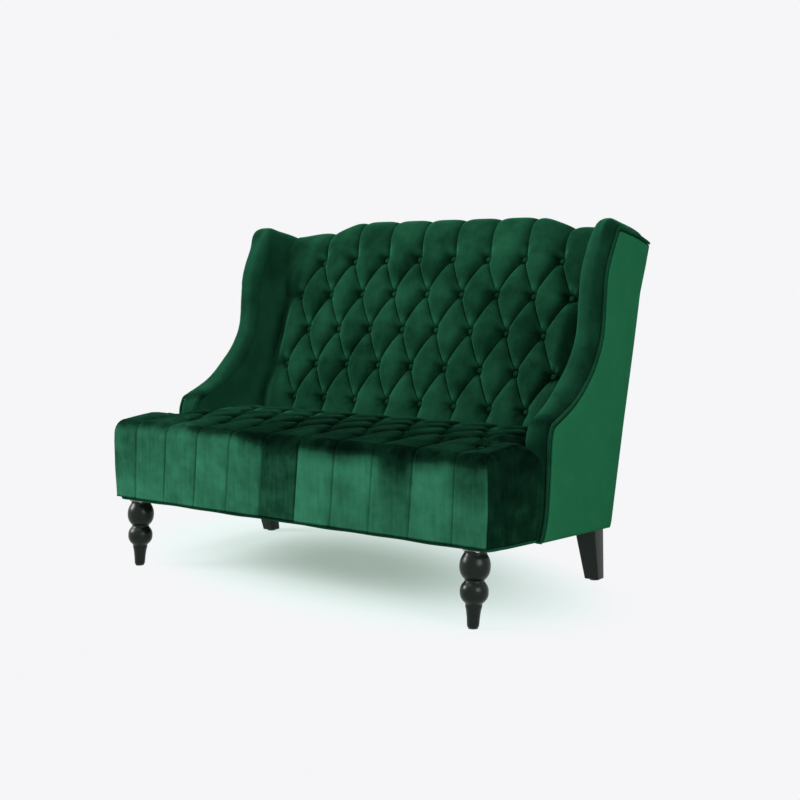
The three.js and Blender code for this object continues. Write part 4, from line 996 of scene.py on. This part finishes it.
def make_rear_leg(side, word):
    """A square taper raked to the back: each ring is a square with its corners eased by a small arc."""
    share = joined([0, 0, 0.006], np.linspace(0.02, 0.985, 26), [1, 1])[:, None]
    shrink = joined([0.02, 0.95], np.ones(28), [0.02])[:, None]
    ease = 2.2
    turn = (np.arange(4)[:, None] * np.pi / 2 + np.linspace(0, np.pi / 2, 6)).reshape(-1)
    sign_x, sign_y = np.repeat([(1, -1, -1, 1), (1, 1, -1, -1)], 6, axis=1)
    flat_x = np.maximum((41.0 + 19.0 * share) / 2 * shrink - ease, 0)
    flat_y = np.maximum((33.0 + 17.0 * share) / 2 * shrink - ease, 0)
    x = HALF_WIDTH - 57.0 + sign_x * flat_x + ease * np.cos(turn) * shrink
    y = BACK_FOOT_Y - 26.0 + 32.0 * (1 - share) + sign_y * flat_y + ease * np.sin(turn) * shrink
    rings = packed(x, y, GLIDE_TOP + share * (147.4 - GLIDE_TOP))
    loft(f"rear_leg_tapered_{word}", mirrored(rings, side), LEG_LACQUER, [f"rear_leg_{word}"], sharp=40)


for side, word in SIDES:
    make_front_leg(side, word)
    make_rear_leg(side, word)


# Sheets under and inside the seat

def make_sheet(name, top, thickness, keep, finish, nodes):
    """A thin closed sheet under a grid of points; cells that are not kept are left out and the edge is walled."""
    rows, columns = top.shape[:2]
    half = rows * columns
    index = np.arange(half).reshape(rows, columns)
    a, b, c, d = (corner[keep] for corner in (index[:-1, :-1], index[:-1, 1:], index[1:, :-1], index[1:, 1:]))
    upper = joined(packed(a, b, d), packed(a, d, c))
    edges = joined(upper[:, [0, 1]], upper[:, [1, 2]], upper[:, [2, 0]])
    start, end = edges[~np.isin(edges @ (half, 1), edges @ (1, half))].T
    faces = joined(upper, upper[:, ::-1] + half, packed(end, start, start + half),
                   packed(end, start + half, end + half))
    points = joined(top.reshape(-1, 3), top.reshape(-1, 3) - (0, 0, thickness))
    used, place = np.unique(faces, return_inverse=True)
    return new_piece(name, points[used], place.reshape(-1, 3), finish, nodes)


def make_dust_cover():
    """Black cover stapled under the frame: it sags between its edges, with faint pulls at the staples."""
    block_x, block_front, block_rear = 518.9, -335.5, 88.5
    x = np.unique(joined(np.linspace(-593.5, 593.5, 120), [-block_x, block_x]))
    y = np.unique(joined(np.linspace(-388.0, 139.5, 60), [block_front, block_rear]))[:, None]
    middle_x, middle_y = (x[1:] + x[:-1]) / 2, (y[1:] + y[:-1]) / 2
    notched = (np.abs(middle_x) > block_x) & ((middle_y < block_front) | (middle_y > block_rear))
    sag = np.clip(1 - (x / 590) ** 4, 0, 1) * np.clip(1 - ((y + 124) / 264) ** 4, 0, 1)
    z = underside_at(y) + 5.4 - 3.5 * sag + 0.2 * np.sin(x / 17.0) * (1 - sag)
    piece = make_sheet("dust_cover_cloth", packed(x, y, z), 1.2, ~notched, DUST_CLOTH, ["dust_cover"])


def make_spring_cover():
    """Cloth laid over the springs: it follows their arch and dips a little between them."""
    x = np.linspace(-565.2, 565.2, 110)
    y = np.linspace(-401.0, 125.0, 56)[:, None]
    dip = 0.4 * (1 - np.cos(2 * np.pi * x / 226.0))
    z = deck_at(y) - 2.4 - dip * np.sin(np.pi * (y + 401) / 526)
    keep = np.ones((y.size - 1, x.size - 1), bool)
    piece = make_sheet("spring_cover_cloth", packed(x, y, z), 1.0, keep, DECK_CLOTH, ["seat_spring_cover"])


make_dust_cover()
make_spring_cover()


# Finishes of the frame's own pieces, by the start of their names

FRAME_FINISHES = (
    (HARDWOOD, ("back_top_rail", "back_post", "back_bottom_rail", "back_upright", "front_seat_rail", "side_seat_rail",
                "rear_seat_rail", "centre_seat_brace", "front_corner_block", "rear_corner_block")),
    (PLYWOOD, ("side_frame_board",)),
    (WEBBING, ("back_web",)),
    (STEEL, ("seat_spring", "front_leg_plate", "rear_leg_plate", "front_leg_bolt", "rear_leg_bolt")),
    (NYLON, ("front_leg_glide", "rear_leg_glide")),
)
for node_name, node_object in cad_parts.items():
    for material, starts in FRAME_FINISHES:
        if node_name.startswith(starts):
            for material_slot in node_object.material_slots:
                material_slot.material = material


# Floor, backdrop and light

PALE_RAYS = ("Is Camera Ray", "Is Glossy Ray", "Is Transmission Ray")
FLOOR_REACH = 30.0


def pale_share(finish):
    """1 for the rays that find the floor and backdrop pale, from the camera or by gloss or glass, and 0 for others."""
    camera, gloss, glass = (finish.node("ShaderNodeLightPath", output=kind) for kind in PALE_RAYS)
    return camera.math("MAXIMUM", gloss).math("MAXIMUM", glass)


def make_floor():
    """A pale floor that keeps the shadow under the loveseat and fades to the backdrop's colour further out, with
    painted bounce light: its glow is greenish near the loveseat, and a tilted, off-centre ellipse of the fade sets the
    shadow's outline.
    """
    finish = Finish("studio_floor")
    # The fade's tilted, off-centre ellipse sets where the real shadow shows, which paints the shadow's outline
    place = {"Vector": finish.place, "Location": (-0.07, -0.04, 0.0), "Rotation": (0.0, 0.0, -0.244),
             "Scale": (1.9, 1.0, 1.0)}
    place = finish.node("ShaderNodeMapping", {"vector_type": "TEXTURE"}, place)
    far = finish.node("ShaderNodeVectorMath", {"operation": "LENGTH"}, {0: place}, output="Value")
    fade = finish.node("ShaderNodeMapRange", {"interpolation_type": "SMOOTHSTEP"},
                       {"Value": far, "From Min": 0.06, "From Max": 0.52, "To Min": 0.42})
    matt = finish.node("ShaderNodeBsdfDiffuse", {}, {"Color": (0.68, 0.71, 0.70, 1.0)})
    # Painted bounce light: a greenish glow near the loveseat, a little cyan past it, then the backdrop's own pale
    # colour
    glow_with_painted_bounce = finish.ramp(fade, [(0.42, (0.76, 0.965, 0.85)), (0.88, (0.85, 0.945, 0.94)), (1.0, (0.92, 0.92, 0.935))])
    pale = finish.node("ShaderNodeEmission", {}, {"Color": glow_with_painted_bounce, "Strength": 1.0})
    mesh = bpy.data.meshes.new("studio_floor")
    mesh.from_pydata([(x * FLOOR_REACH, y * FLOOR_REACH, 0) for x, y in ((-1, -1), (1, -1), (1, 1), (-1, 1))], [],
                     [(0, 1, 2, 3)])
    mesh.materials.append(finish.done(
        finish.node("ShaderNodeMixShader", {}, {0: fade * pale_share(finish), 1: matt, 2: pale})))
    floor = placed("studio_floor", mesh)


def make_world():
    """Pale to the camera and in reflections, and a soft grey light on the object."""
    finish = Finish("studio", world=True)
    soft = finish.node("ShaderNodeBackground", {}, {"Color": (0.93, 1.0, 0.97, 1), "Strength": 0.22})
    pale = finish.node("ShaderNodeBackground", {}, {"Color": (0.92, 0.92, 0.935, 1)})
    mixed = finish.node("ShaderNodeMixShader", {}, {0: pale_share(finish), 1: soft, 2: pale})
    bpy.context.scene.world = finish.done(mixed, "ShaderNodeOutputWorld")


def add_lamp(name, place, target, size, power):
    """A square soft box at a place, facing a target."""
    data = bpy.data.lights.new(name, "AREA")
    data.shape = "SQUARE"
    data.size = size
    data.energy = power
    lamp = placed(name, data)
    lamp.location = place
    lamp.rotation_euler = (Vector(target) - Vector(place)).to_track_quat("-Z", "Y").to_euler()


make_floor()
make_world()
add_lamp("overhead_box", (-0.6, -0.5, 3.3), (0, 0, 0.3), 2.4, 80)
add_lamp("key_box", (-3.0, -2.0, 1.9), (0, 0, 0.5), 1.4, 155)
add_lamp("fill_box", (3.2, -1.4, 1.4), (0.3, 0, 0.5), 1.6, 58)

bpy.context.scene.view_settings.view_transform = "Standard"
